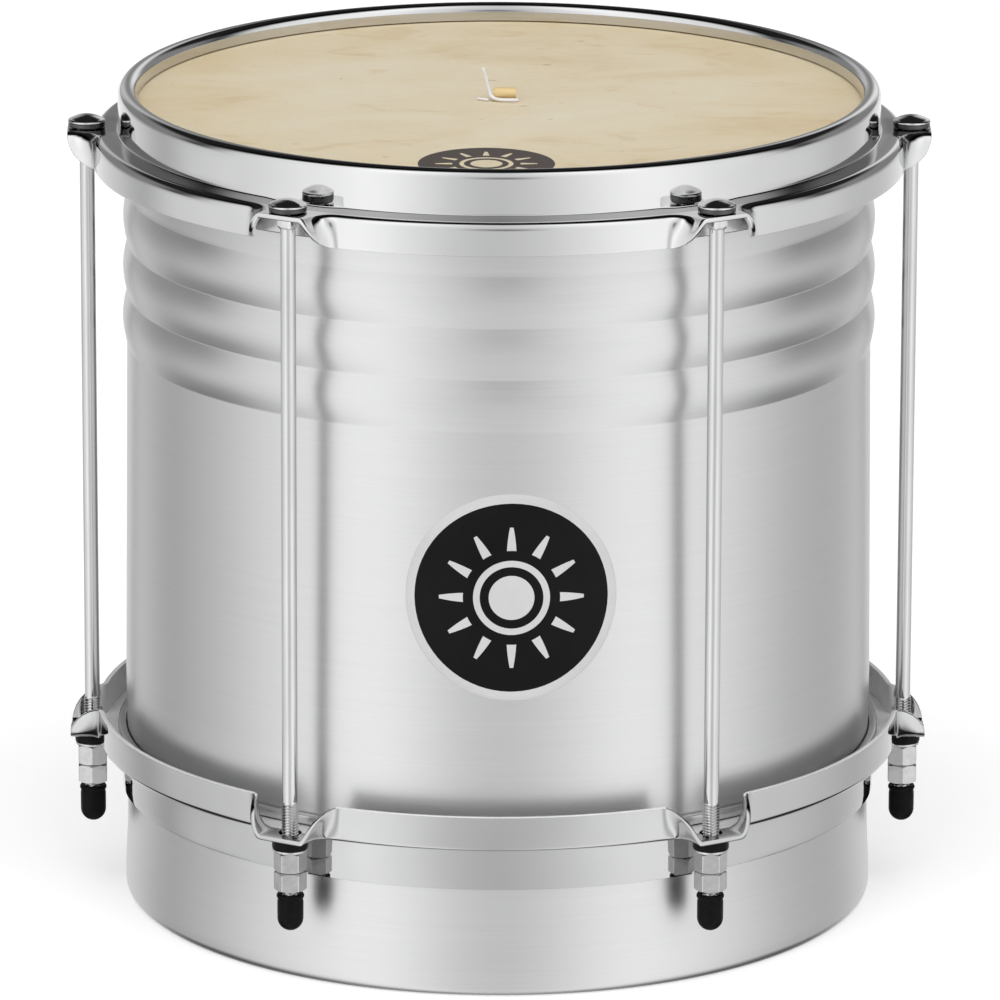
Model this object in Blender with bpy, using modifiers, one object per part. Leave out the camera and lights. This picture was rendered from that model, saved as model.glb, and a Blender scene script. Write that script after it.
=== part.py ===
"""Cuica, a friction drum with a thin metal shell.

The drum stands on its open end.  +Z is up, the origin is the centre of the
circle that the shell stands on, and the six lugs sit at 0, 60, ... 300
degrees from +X.  The player's side of the shell, with its round badge, faces
-Y.  Sizes below are in millimetres and are turned into metres by the helper
mm().
"""

import math

import bmesh
import bpy
from mathutils import Vector

# ---------------------------------------------------------------- dimensions
# Overall
LUGS = 6
Z_TOP = 286.0                 # top of the upper counter hoop
ROD_CIRCLE_R = 141.2          # radius of the circle of tension rods

# Shell: spun sheet, a very slight cone, three beads below the head
SHELL_WALL = 1.5
SHELL_EDGE_Z = 278.6          # bearing edge under the skin
SHELL_R_TOP = 127.0
SHELL_R_LOW = 129.2           # at SHELL_LOW_Z
SHELL_LOW_Z = 80.0
SHELL_R_HOOP = 128.9          # inside the lower hoop
SHELL_R_WAIST = 129.0
SHELL_WAIST_Z = 28.0
SHELL_R_FOOT = 129.9
FOOT_ROLL_R = 3.5             # rounding at the standing edge
FOOT_FLANGE = 4.0             # flat that the drum stands on
EDGE_ROLL_R = 2.6             # rounding of the bearing edge
BEAD_TOP_Z = 249.4            # upper end of the first bead
BEAD_PITCH = 17.6
BEAD_H = 1.45
BEADS = 3
SHELL_STEPS = 48

# Counter hoops: pressed sheet with a step and six turned-out ears
HOOP_T = 1.7
UPPER_R_WALL = 130.5          # outside of the upright wall
LOWER_R_WALL = 131.2
HOOP_R_SKIRT = 139.1          # outside of the skirt
HOOP_BEND_R = 1.9
HOOP_R_BEND = HOOP_R_SKIRT - HOOP_BEND_R       # where the skirt's bend starts
HOOP_FOOT = 0.7               # small fillet between the wall and the step
HOOP_LIP_ROLL = 3.25          # the upper edge is rolled over in a half round
HOOP_LIP_Z = 280.5            # where the rolled edge ends, above the skin
UPPER_EAR_TIP_R = 147.2
LOWER_EAR_TIP_R = 148.2
EAR_FLAT_DEG = 3.0            # half width of the flat part of an ear
EAR_END_DEG = 7.1             # where the ear has turned into the skirt
UPPER_FLANGE_Z = 270.4        # upper face of the step and of the ears
UPPER_SKIRT_Z = 259.8
LOWER_FLANGE_Z = 54.3         # lower face of the step and of the ears
LOWER_SKIRT_Z = 65.8
LOWER_WALL_Z = 39.2

# Rings that the hoops pull on
RING_GAP = 0.3
BEARING_RING = (129.3, 132.2, 56.4, 59.6)      # r in, r out, z low, z high
FLESH_HOOP = (128.8, 135.6, 260.8, 268.3)

# Skin
SKIN_T = 0.6
SKIN_Z = 278.9                # underside of the stretched part
SKIN_COLLAR_R = 127.6         # inside of the collar
SKIN_COLLAR_Z = 262.0
PRINT_R = 22.8
PRINT_AT = (-5.1, -92.6)
PRINT_T = 0.3

# Badge on the shell
BADGE_R = 35.6
BADGE_Z = 139.9
BADGE_DEG = -88.5
BADGE_T = 0.4

# Tension rods (round head, square neck, plain shank, rolled thread)
ROD_HEAD_R = 6.45
ROD_HEAD_Z = 270.7
ROD_HEAD_RIM = 2.2
ROD_HEAD_H = 4.1
ROD_NECK = 5.9
ROD_NECK_Z = 264.9
ROD_SHANK_R = 2.58
ROD_THREAD_R = 2.95
ROD_THREAD_Z = 66.6
ROD_END_Z = 23.8
EAR_HOLE_SQUARE = 6.6
EAR_HOLE_R = 3.9

# Stack under each lower ear
BUSH = (3.25, 6.1, 50.9, 54.0)                 # r in, r out, z low, z high
WASHER = (3.25, 5.95, 49.9, 50.6)
NUT_AF = 9.8
NUT_BORE_R = 3.25
TENSION_NUT = (42.8, 49.6)
LOCK_NUT = (36.0, 42.5)
CAP_R = 4.4
CAP_LIP_R = 4.7
CAP_Z = (21.7, 34.8)
CAP_BORE_R = 3.25
CAP_FLOOR_Z = 23.4

# Friction stick and the thread that ties it to the skin
STICK_R = 3.1
STICK_Z = (62.0, 274.6)
STICK_KNUCKLE_Z = 170.0
BINDING = (3.45, 4.4, 264.0, 271.5)
PIVOT_Z = 277.0
LOOP_R = 1.5
PEG_R = 2.1
PEG_L = 7.6
PEG_AT = (1.9, 2.0)
THREAD_R = 0.6


def mm(value):
    return value * 0.001


# ------------------------------------------------------------------- helpers
def clear_scene():
    for obj in list(bpy.data.objects):
        bpy.data.objects.remove(obj, do_unlink=True)


def collection(name, hidden=False):
    made = bpy.data.collections.new(name)
    bpy.context.scene.collection.children.link(made)
    made.hide_render = hidden
    return made


def material(name, colour, roughness, metallic):
    made = bpy.data.materials.new(name)
    made.use_nodes = True
    shader = made.node_tree.nodes["Principled BSDF"]
    shader.inputs["Base Color"].default_value = (*colour, 1.0)
    shader.inputs["Roughness"].default_value = roughness
    shader.inputs["Metallic"].default_value = metallic
    made.diffuse_color = (*colour, 1.0)
    return made


def add(name, mesh, look, where, place=(0.0, 0.0, 0.0), parent=None):
    obj = bpy.data.objects.new(name, mesh)
    obj.location = place
    where.objects.link(obj)
    if look is not None:
        if not mesh.materials:
            mesh.materials.append(look)
    if parent is not None:
        obj.parent = parent
    return obj


def profile_mesh(name, points, closed):
    """A polyline in the XZ plane, ready for a Screw modifier."""
    mesh = bpy.data.meshes.new(name)
    bm = bmesh.new()
    verts = [bm.verts.new((mm(r), 0.0, mm(z))) for r, z in points]
    for a, b in zip(verts, verts[1:]):
        bm.edges.new((a, b))
    if closed:
        bm.edges.new((verts[-1], verts[0]))
    bm.to_mesh(mesh)
    bm.free()
    return mesh


def spin(obj, steps):
    turn = obj.modifiers.new("turn", "SCREW")
    turn.axis = "Z"
    turn.angle = 2.0 * math.pi
    turn.steps = steps
    turn.render_steps = steps
    turn.use_merge_vertices = True
    turn.merge_threshold = 0.00001
    turn.use_smooth_shade = True
    return turn


def turned(name, points, look, where, steps, closed=False, place=(0, 0, 0), parent=None):
    obj = add(name, profile_mesh(name, points, closed), look, where, place, parent)
    spin(obj, steps)
    return obj


def ring_points(r_in, r_out, z_low, z_high, edge=0.0):
    """Closed rectangle with its corners cut; outer side first, top to bottom."""
    if edge <= 0.0:
        return [(r_out, z_high), (r_out, z_low), (r_in, z_low), (r_in, z_high)]
    return [
        (r_out - edge, z_high), (r_out, z_high - edge),
        (r_out, z_low + edge), (r_out - edge, z_low),
        (r_in + edge, z_low), (r_in, z_low + edge),
        (r_in, z_high - edge), (r_in + edge, z_high),
    ]


def evaluated_mesh(obj, name):
    graph = bpy.context.evaluated_depsgraph_get()
    mesh = bpy.data.meshes.new_from_object(obj.evaluated_get(graph))
    mesh.name = name
    bm = bmesh.new()
    bm.from_mesh(mesh)
    bmesh.ops.remove_doubles(bm, verts=bm.verts, dist=0.000002)
    bm.to_mesh(mesh)
    bm.free()
    return mesh


def baked(obj, name):
    """The object's shape with its modifiers worked in, and the object removed."""
    bpy.context.view_layer.update()
    mesh = evaluated_mesh(obj, name)
    mesh.shade_smooth()
    mesh.set_sharp_from_angle(angle=math.radians(35.0))
    bpy.data.objects.remove(obj, do_unlink=True)
    return mesh


def cylinder_mesh(name, radius, z_low, z_high, sides):
    mesh = bpy.data.meshes.new(name)
    bm = bmesh.new()
    bmesh.ops.create_cone(
        bm, cap_ends=True, segments=sides, radius1=mm(radius), radius2=mm(radius),
        depth=mm(z_high - z_low),
    )
    bmesh.ops.translate(bm, verts=bm.verts, vec=(0.0, 0.0, mm(0.5 * (z_low + z_high))))
    bm.to_mesh(mesh)
    bm.free()
    return mesh


def box_mesh(name, side_x, side_y, z_low, z_high):
    mesh = bpy.data.meshes.new(name)
    bm = bmesh.new()
    bmesh.ops.create_cube(bm, size=1.0)
    bmesh.ops.scale(bm, verts=bm.verts, vec=(mm(side_x), mm(side_y), mm(z_high - z_low)))
    bmesh.ops.translate(bm, verts=bm.verts, vec=(0.0, 0.0, mm(0.5 * (z_low + z_high))))
    bm.to_mesh(mesh)
    bm.free()
    return mesh


def boolean(obj, other, operation="DIFFERENCE"):
    cut = obj.modifiers.new(operation.lower(), "BOOLEAN")
    cut.operation = operation
    cut.solver = "EXACT"
    cut.object = other
    return cut


def cutter(name, mesh, where, place=(0, 0, 0), turn=0.0):
    obj = bpy.data.objects.new(name, mesh)
    obj.location = place
    obj.rotation_euler = (0.0, 0.0, turn)
    obj.hide_render = True
    obj.display_type = "WIRE"
    where.objects.link(obj)
    return obj


def lug_angle(index):
    return 2.0 * math.pi * index / LUGS


def lug_place(index):
    a = lug_angle(index)
    return (mm(ROD_CIRCLE_R) * math.cos(a), mm(ROD_CIRCLE_R) * math.sin(a), 0.0)


def smooth(t):
    t = min(1.0, max(0.0, t))
    return t * t * (3.0 - 2.0 * t)


def arc(cx, cz, radius, start, end, parts):
    """Points on an arc, angles in degrees from +r towards +z."""
    out = []
    for i in range(parts + 1):
        a = math.radians(start + (end - start) * i / parts)
        out.append((cx + radius * math.cos(a), cz + radius * math.sin(a)))
    return out


# --------------------------------------------------------------------- shell
def shell_radius(z):
    """Outer radius of the plain wall, without the beads."""
    if z >= SHELL_LOW_Z:
        t = (z - SHELL_LOW_Z) / (Z_TOP - SHELL_LOW_Z)
        return SHELL_R_LOW + (SHELL_R_TOP - SHELL_R_LOW) * t
    if z >= 50.0:
        return SHELL_R_LOW + (SHELL_R_HOOP - SHELL_R_LOW) * smooth((SHELL_LOW_Z - z) / 30.0)
    if z >= SHELL_WAIST_Z:
        t = smooth((50.0 - z) / (50.0 - SHELL_WAIST_Z))
        return SHELL_R_HOOP + (SHELL_R_WAIST - SHELL_R_HOOP) * t
    t = smooth((SHELL_WAIST_Z - z) / (SHELL_WAIST_Z - FOOT_ROLL_R))
    return SHELL_R_WAIST + (SHELL_R_FOOT - SHELL_R_WAIST) * t


def shell_profile():
    """Outer skin of the sheet from the bearing edge down to the standing flat."""
    top_r = shell_radius(SHELL_EDGE_Z)
    points = [(top_r - EDGE_ROLL_R - 2.2, SHELL_EDGE_Z)]
    points += arc(top_r - EDGE_ROLL_R, SHELL_EDGE_Z - EDGE_ROLL_R, EDGE_ROLL_R, 90.0, 0.0, 2)
    bottom_of_beads = BEAD_TOP_Z - BEADS * BEAD_PITCH
    for i in range(BEADS):
        high = BEAD_TOP_Z - i * BEAD_PITCH
        for t in (0.0, 0.5):
            z = high - t * BEAD_PITCH
            points.append((shell_radius(z) + BEAD_H * math.sin(math.pi * t), z))
    points.append((shell_radius(bottom_of_beads), bottom_of_beads))
    for z in (SHELL_LOW_Z, SHELL_WAIST_Z, 12.0):
        points.append((shell_radius(z), z))
    points += arc(SHELL_R_FOOT - FOOT_ROLL_R, FOOT_ROLL_R, FOOT_ROLL_R, 0.0, -90.0, 2)
    points.append((SHELL_R_FOOT - FOOT_ROLL_R - FOOT_FLANGE, 0.0))
    return points


def make_shell(look, parts):
    obj = turned("shell", shell_profile(), look, parts, SHELL_STEPS)
    wall = obj.modifiers.new("wall", "SOLIDIFY")
    wall.thickness = mm(SHELL_WALL)
    wall.offset = -1.0
    wall.use_even_offset = True
    return obj


# --------------------------------------------------------------------- hoops
def hoop_angles():
    """Angles round a hoop: close together through each ear, wider between."""
    half = [0.0, EAR_FLAT_DEG, 0.5 * (EAR_FLAT_DEG + EAR_END_DEG), EAR_END_DEG, 10.0]
    pitch = 360.0 / LUGS
    between = [10.0 + (pitch - 20.0) * i / 5 for i in range(1, 5)]
    one = [-a for a in reversed(half[1:])] + half + between
    return [math.radians(pitch * lug + a) for lug in range(LUGS) for a in one]


def fold(angle):
    """1 where the skirt stands along the drum's axis, 0 where it lies flat as an ear."""
    pitch = 360.0 / LUGS
    away = abs((math.degrees(angle) + pitch / 2.0) % pitch - pitch / 2.0)
    return smooth((away - EAR_FLAT_DEG) / (EAR_END_DEG - EAR_FLAT_DEG))


def arm(angle, skirt_drop, ear_tip):
    """The arm from the step outwards, as (r, drop) points.

    drop is measured from the face of the step along the drum's axis.  The
    strip next to the step keeps its length and takes the whole fold, so the
    arm is a flat ear at a lug and a skirt with a rounded shoulder elsewhere.
    """
    share = fold(angle)
    turn = 0.5 * math.pi * share
    strip = 0.5 * math.pi * HOOP_BEND_R
    straight_ear = ear_tip - HOOP_R_BEND - strip
    straight_skirt = skirt_drop - HOOP_BEND_R
    straight = straight_ear + (straight_skirt - straight_ear) * share
    points = []
    for part in (0.0, 0.5, 1.0):
        a = turn * part
        if turn < 0.0001:
            points.append((HOOP_R_BEND + strip * part, 0.0))
        else:
            radius = strip / turn
            points.append((HOOP_R_BEND + radius * math.sin(a), radius * (1.0 - math.cos(a))))
    r, drop = points[-1]
    points.append((r + straight * math.cos(turn), drop + straight * math.sin(turn)))
    return points


def upper_section(angle):
    """(r, z) of the outer face of the upper hoop, rolled lip to skirt edge."""
    roll = HOOP_LIP_ROLL
    points = [(UPPER_R_WALL - 2.0 * roll, HOOP_LIP_Z)]
    points += arc(UPPER_R_WALL - roll, Z_TOP - roll, roll, 180.0, 0.0, 4)
    points.append((UPPER_R_WALL, UPPER_FLANGE_Z + HOOP_FOOT))
    points.append((UPPER_R_WALL + HOOP_FOOT, UPPER_FLANGE_Z))
    drop = UPPER_FLANGE_Z - UPPER_SKIRT_Z
    points += [(r, UPPER_FLANGE_Z - d) for r, d in arm(angle, drop, UPPER_EAR_TIP_R)]
    return points


def lower_section(angle):
    """(r, z) of the outer face of the lower hoop, wall edge to skirt edge."""
    points = [(LOWER_R_WALL, LOWER_WALL_Z), (LOWER_R_WALL, LOWER_FLANGE_Z - HOOP_FOOT)]
    points.append((LOWER_R_WALL + HOOP_FOOT, LOWER_FLANGE_Z))
    drop = LOWER_SKIRT_Z - LOWER_FLANGE_Z
    points += [(r, LOWER_FLANGE_Z + d) for r, d in arm(angle, drop, LOWER_EAR_TIP_R)]
    return points


def loft(name, section, flip):
    """Open sheet lofted through the changing sections, closed round the axis."""
    angles = hoop_angles()
    mesh = bpy.data.meshes.new(name)
    bm = bmesh.new()
    rows = []
    for a in angles:
        rows.append([
            bm.verts.new((mm(r) * math.cos(a), mm(r) * math.sin(a), mm(z)))
            for r, z in section(a)
        ])
    count = len(rows)
    for i in range(count):
        one, two = rows[i], rows[(i + 1) % count]
        for k in range(len(one) - 1):
            face = (one[k], one[k + 1], two[k + 1], two[k])
            bm.faces.new(tuple(reversed(face)) if flip else face)
    bm.to_mesh(mesh)
    bm.free()
    return mesh


def make_hoop(name, section, flip, look, parts, cutters, hole, turn=0.0):
    obj = add(name, loft(name, section, flip), look, parts)
    wall = obj.modifiers.new("sheet", "SOLIDIFY")
    wall.thickness = mm(HOOP_T)
    wall.offset = -1.0
    wall.use_even_offset = False
    for i in range(LUGS):
        tool = cutter(f"{name}_hole_{i + 1}", hole, cutters, lug_place(i), lug_angle(i) + turn)
        boolean(obj, tool)
    obj.data.shade_smooth()
    return obj


# ------------------------------------------------------------ fasteners, rods
def rod_mesh(work, tools):
    """Domed head, square neck, shank and thread, standing on the rod's own axis."""
    head_top = ROD_HEAD_Z + ROD_HEAD_H
    rim_top = ROD_HEAD_Z + ROD_HEAD_RIM
    points = [(0.0, head_top)]
    for t in (0.5, 1.0):
        a = 0.5 * math.pi * t
        points.append((ROD_HEAD_R * math.sin(a), rim_top + (head_top - rim_top) * math.cos(a)))
    points += [
        (ROD_HEAD_R, ROD_HEAD_Z), (ROD_SHANK_R, ROD_HEAD_Z),
        (ROD_SHANK_R, ROD_THREAD_Z + 0.4), (ROD_THREAD_R, ROD_THREAD_Z),
        (ROD_THREAD_R, ROD_END_Z + 0.7), (ROD_THREAD_R - 0.7, ROD_END_Z), (0.0, ROD_END_Z),
    ]
    rod = turned("rod_form", points, None, work, 10)
    neck = cutter("neck_form", box_mesh("neck_form", ROD_NECK, ROD_NECK, ROD_NECK_Z, ROD_HEAD_Z + 0.8), tools)
    boolean(rod, neck, "UNION")
    mesh = baked(rod, "rod")
    bpy.data.objects.remove(neck, do_unlink=True)
    return mesh


def nut_mesh(work, tools, z_low, z_high, name):
    """Hexagon across NUT_AF with a plain bore."""
    corner = NUT_AF / math.sqrt(3.0)
    body = add(name + "_form", cylinder_mesh(name + "_form", corner, z_low, z_high, 6), None, work)
    bore = cutter(name + "_bore", cylinder_mesh(name + "_bore", NUT_BORE_R, z_low - 2.0, z_high + 2.0, 10), tools)
    boolean(body, bore)
    mesh = baked(body, name)
    bpy.data.objects.remove(bore, do_unlink=True)
    return mesh


def cap_points():
    """Cup with a rounded end: up the bore, over the lip, down the outside."""
    low, high = CAP_Z
    points = [(0.0, CAP_FLOOR_Z), (CAP_BORE_R, CAP_FLOOR_Z), (CAP_BORE_R, high)]
    points += [(CAP_LIP_R, high), (CAP_LIP_R, high - 0.9), (CAP_R, high - 1.3)]
    points += arc(0.0, low + CAP_R, CAP_R, 0.0, -90.0, 2)
    points[-1] = (0.0, low)
    return points


def stick_points():
    low, high = STICK_Z
    r = STICK_R
    return [
        (0.0, high), (r - 0.5, high), (r, high - 0.6), (r, STICK_KNUCKLE_Z + 3.0),
        (r + 0.45, STICK_KNUCKLE_Z + 0.8), (r + 0.45, STICK_KNUCKLE_Z - 0.8),
        (r, STICK_KNUCKLE_Z - 3.0), (r - 0.15, low + 0.8), (r - 0.8, low), (0.0, low),
    ]


def poly_tube(name, points, radius, look, where, resolution=2):
    data = bpy.data.curves.new(name, "CURVE")
    data.dimensions = "3D"
    data.bevel_depth = mm(radius)
    data.bevel_resolution = resolution
    data.use_fill_caps = True
    line = data.splines.new("POLY")
    line.points.add(len(points) - 1)
    for point, (x, y, z) in zip(line.points, points):
        point.co = (mm(x), mm(y), mm(z), 1.0)
    obj = bpy.data.objects.new(name, data)
    data.materials.append(look)
    where.objects.link(obj)
    return obj


def smooth_path(points, parts):
    """Points on a Catmull-Rom curve through the route's own points."""
    ends = [tuple(2 * a - b for a, b in zip(points[0], points[1]))] + list(points)
    ends.append(tuple(2 * a - b for a, b in zip(points[-1], points[-2])))
    out = []
    for i in range(1, len(ends) - 2):
        p0, p1, p2, p3 = (Vector(p) for p in ends[i - 1:i + 3])
        for k in range(parts):
            t = k / parts
            out.append(tuple(0.5 * (
                2 * p1 + (p2 - p0) * t + (2 * p0 - 5 * p1 + 4 * p2 - p3) * t * t
                + (3 * p1 - p0 - 3 * p2 + p3) * t ** 3
            )))
    out.append(tuple(points[-1]))
    return out


def badge_mesh():
    """Plate cut in strips so that it follows the shell's curve."""
    mesh = bpy.data.meshes.new("badge")
    bm = bmesh.new()
    rings = 2
    sides = 20
    middle = math.radians(BADGE_DEG)

    def place(across, up):
        z = mm(BADGE_Z) + up
        r = mm(shell_radius(z * 1000.0) + RING_GAP)
        a = middle + across / r
        return (r * math.cos(a), r * math.sin(a), z)

    centre = bm.verts.new(place(0.0, 0.0))
    loops = []
    for k in range(1, rings + 1):
        loops.append([
            bm.verts.new(place(
                mm(BADGE_R) * k / rings * math.cos(2 * math.pi * i / sides),
                mm(BADGE_R) * k / rings * math.sin(2 * math.pi * i / sides),
            ))
            for i in range(sides)
        ])
    for i in range(sides):
        j = (i + 1) % sides
        bm.faces.new((centre, loops[0][i], loops[0][j]))
        for inner, outer in zip(loops, loops[1:]):
            bm.faces.new((inner[i], outer[i], outer[j], inner[j]))
    bm.to_mesh(mesh)
    bm.free()
    return mesh


# --------------------------------------------------------------------- build
def build():
    clear_scene()
    parts = collection("cuica")
    tools = collection("cutters")

    brushed = material("brushed_aluminium", (0.62, 0.62, 0.63), 0.32, 1.0)
    chrome = material("chrome", (0.78, 0.78, 0.79), 0.06, 1.0)
    steel = material("plated_steel", (0.66, 0.66, 0.67), 0.18, 1.0)
    ring_steel = material("ring_steel", (0.55, 0.55, 0.56), 0.35, 1.0)
    hide = material("natural_skin", (0.70, 0.59, 0.41), 0.55, 0.0)
    ink = material("print_ink", (0.045, 0.038, 0.034), 0.5, 0.0)
    badge_look = material("badge_film", (0.012, 0.012, 0.012), 0.3, 0.0)
    black_rubber = material("black_rubber", (0.012, 0.012, 0.012), 0.45, 0.0)
    bush_look = material("black_bush", (0.015, 0.015, 0.016), 0.4, 0.0)
    bamboo = material("bamboo", (0.72, 0.56, 0.30), 0.5, 0.0)
    peg_look = material("peg_wood", (0.78, 0.62, 0.34), 0.5, 0.0)
    thread_look = material("thread", (0.85, 0.84, 0.82), 0.6, 0.0)

    # Fixed pieces
    make_shell(brushed, parts)
    square = box_mesh("square_hole", EAR_HOLE_SQUARE, EAR_HOLE_SQUARE, UPPER_FLANGE_Z - 8.0, UPPER_FLANGE_Z + 6.0)
    round_hole = cylinder_mesh("round_hole", EAR_HOLE_R, LOWER_FLANGE_Z - 6.0, LOWER_FLANGE_Z + 8.0, 12)
    make_hoop("lower_hoop", lower_section, True, chrome, parts, tools, round_hole, math.radians(7.0))
    turned("bearing_ring", ring_points(*BEARING_RING), ring_steel, parts, SHELL_STEPS, closed=True)
    badge = add("badge", badge_mesh(), badge_look, parts)
    film = badge.modifiers.new("film", "SOLIDIFY")
    film.thickness = mm(BADGE_T)
    film.offset = 1.0

    # The head and what pulls it down, on an empty that carries the tuning travel
    head = bpy.data.objects.new("head_travel", None)
    head.empty_display_size = 0.05
    parts.objects.link(head)
    hoop = make_hoop("top_hoop", upper_section, False, chrome, parts, tools, square)
    hoop.parent = head
    flesh = turned("flesh_hoop", ring_points(*FLESH_HOOP), ring_steel, parts, SHELL_STEPS, closed=True)
    flesh.parent = head
    top = SKIN_Z + SKIN_T
    r0, r1 = SKIN_COLLAR_R, SKIN_COLLAR_R + SKIN_T
    skin_points = [
        (0.0, top), (r1 - 1.3, top), (r1, top - 1.3), (r1, SKIN_COLLAR_Z),
        (r0, SKIN_COLLAR_Z), (r0, SKIN_Z - 1.0), (r0 - 1.0, SKIN_Z), (0.0, SKIN_Z),
    ]
    skin = turned("drum_skin", skin_points, hide, parts, SHELL_STEPS)
    skin.parent = head
    print_low = top + RING_GAP
    printed = add(
        "skin_print", cylinder_mesh("skin_print", PRINT_R, print_low, print_low + PRINT_T, 24),
        ink, parts, (mm(PRINT_AT[0]), mm(PRINT_AT[1]), 0.0), head,
    )
    printed.data.shade_smooth()
    printed.data.set_sharp_from_angle(angle=math.radians(35.0))

    # Lugs: rod, bush, washer, two nuts and a rubber cap each
    rod = rod_mesh(parts, tools)
    rod.materials.append(steel)
    nut_high = nut_mesh(parts, tools, *TENSION_NUT, "tension_nut_form")
    nut_high.materials.append(steel)
    nut_low = nut_mesh(parts, tools, *LOCK_NUT, "lock_nut_form")
    nut_low.materials.append(steel)
    for i in range(LUGS):
        place = lug_place(i)
        number = i + 1
        one = add(f"tension_rod_{number}", rod, steel, parts, place, head)
        one.rotation_euler = (0.0, 0.0, lug_angle(i))
        turned(f"bush_{number}", ring_points(*BUSH), bush_look, parts, 10, True, place)
        turned(f"washer_{number}", ring_points(*WASHER), steel, parts, 10, True, place)
        pair = bpy.data.objects.new(f"nut_axis_{number}", None)
        pair.empty_display_size = 0.01
        pair.location = place
        parts.objects.link(pair)
        for label, mesh in (("tension_nut", nut_high), ("lock_nut", nut_low)):
            piece = add(f"{label}_{number}", mesh, steel, parts, (0, 0, 0), pair)
            piece.rotation_euler = (0.0, 0.0, 0.0 if number in (1, 4) else math.radians(30.0))
        turned(f"rod_cap_{number}", cap_points(), black_rubber, parts, 10, False, place)

    # Friction stick: hangs from the middle of the skin and rocks about the tie
    rock = bpy.data.objects.new("stick_pivot", None)
    rock.empty_display_size = 0.01
    rock.location = (0.0, 0.0, mm(PIVOT_Z))
    rock.parent = head
    parts.objects.link(rock)
    below = -mm(PIVOT_Z)
    loop_mesh = bpy.data.meshes.new("tie_loop")
    bm = bmesh.new()
    bmesh.ops.create_uvsphere(bm, u_segments=8, v_segments=5, radius=mm(LOOP_R))
    bmesh.ops.scale(bm, verts=bm.verts, vec=(1.0, 1.0, 0.75))
    bmesh.ops.translate(bm, verts=bm.verts, vec=(0.0, 0.0, mm(-0.7)))
    bm.to_mesh(loop_mesh)
    bm.free()
    loop_mesh.shade_smooth()
    add("tie_loop", loop_mesh, thread_look, parts, (0, 0, 0), rock)
    turned("friction_stick", stick_points(), bamboo, parts, 10, False, (0, 0, below), rock)
    turned("stick_binding", ring_points(*BINDING), thread_look, parts, 10, True, (0, 0, below), rock)

    # Peg and thread ends on top of the skin
    peg_mesh = cylinder_mesh("tie_peg", PEG_R, -PEG_L / 2.0, PEG_L / 2.0, 10)
    peg_mesh.shade_smooth()
    peg_mesh.set_sharp_from_angle(angle=math.radians(35.0))
    peg = add(
        "tie_peg", peg_mesh, peg_look, parts,
        (mm(PEG_AT[0]), mm(PEG_AT[1]), mm(top + RING_GAP + PEG_R)), head,
    )
    peg.rotation_euler = (0.0, 0.5 * math.pi, 0.0)
    flat = top + RING_GAP + THREAD_R
    strand = smooth_path([
        (6.6, -1.5, flat), (3.2, -1.6, flat), (0.0, -1.2, flat + 0.05),
        (-2.4, 0.0, flat + 0.6), (-3.5, 0.9, flat + 2.6), (-4.3, 1.3, flat + 6.0), (-5.6, 1.6, flat + 10.6),
    ], 2)
    upright = poly_tube("tie_thread", strand, THREAD_R, thread_look, parts)
    upright.parent = head
    tail = smooth_path([(-3.9, -0.9, flat), (-5.6, 0.2, flat), (-7.6, 1.6, flat)], 2)
    loose = poly_tube("thread_tail", tail, THREAD_R * 0.75, thread_look, parts)
    loose.parent = head

    bpy.context.view_layer.update()


build()
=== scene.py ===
"""Looks of a cuica: a friction drum with a thin metal shell.

Sizes are written in millimetres and turned into metres by MM.  +Z is up, the
drum stands on the floor at z = 0, its badge faces -Y and lug number k is at
(k - 1) * 60 degrees from +X.
"""

import math

import bpy
import numpy as np
from mathutils import Matrix, Vector


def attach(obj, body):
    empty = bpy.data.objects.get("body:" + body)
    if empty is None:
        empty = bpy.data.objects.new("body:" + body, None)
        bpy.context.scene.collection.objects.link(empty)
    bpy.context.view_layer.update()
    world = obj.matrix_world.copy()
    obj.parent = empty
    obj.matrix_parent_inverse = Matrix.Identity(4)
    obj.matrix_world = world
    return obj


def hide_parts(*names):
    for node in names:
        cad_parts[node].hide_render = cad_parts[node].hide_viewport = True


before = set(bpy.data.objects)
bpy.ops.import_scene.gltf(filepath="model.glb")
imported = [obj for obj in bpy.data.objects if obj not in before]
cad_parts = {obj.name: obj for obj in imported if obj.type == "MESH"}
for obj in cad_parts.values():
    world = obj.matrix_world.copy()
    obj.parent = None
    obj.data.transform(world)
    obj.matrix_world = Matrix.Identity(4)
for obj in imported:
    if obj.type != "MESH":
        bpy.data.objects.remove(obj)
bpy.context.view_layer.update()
MM = 0.001

# ---------------------------------------------------------------- dimensions
LUGS = 6
Z_TOP = 286.0
ROD_CIRCLE_R = 141.2

SHELL_WALL = 1.5
SHELL_EDGE_Z = 278.6
SHELL_R_TOP = 127.0
SHELL_R_LOW = 129.2
SHELL_LOW_Z = 80.0
SHELL_R_HOOP = 128.9
SHELL_R_WAIST = 129.0
SHELL_WAIST_Z = 28.0
SHELL_R_FOOT = 129.9
FOOT_ROLL_R = 3.5
FOOT_FLANGE = 4.0
EDGE_ROLL_R = 2.6
BEAD_TOP_Z = 249.4
BEAD_PITCH = 17.6
BEAD_H = 1.45
BEADS = 3

HOOP_T = 1.7
UPPER_R_WALL = 130.5
LOWER_R_WALL = 131.2
HOOP_R_SKIRT = 139.1
HOOP_BEND_R = 1.9
UPPER_BEND_R = 3.0
UPPER_RISE = 0.5
HOOP_FOOT = 0.7
HOOP_LIP_ROLL = 3.25
HOOP_LIP_Z = 280.5
UPPER_EAR_TIP_R = 147.2
LOWER_EAR_TIP_R = 148.2
EAR_FLAT_DEG = 3.0
EAR_END_DEG = 7.1
UPPER_FLANGE_Z = 270.4
UPPER_SKIRT_Z = 259.8
LOWER_FLANGE_Z = 54.3
LOWER_SKIRT_Z = 65.8
LOWER_WALL_Z = 39.2

SKIN_TOP = 279.5
SKIN_UNDER = 278.9
PRINT_AT = (-5.1, -92.6)
PRINT_R = 22.8

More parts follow.
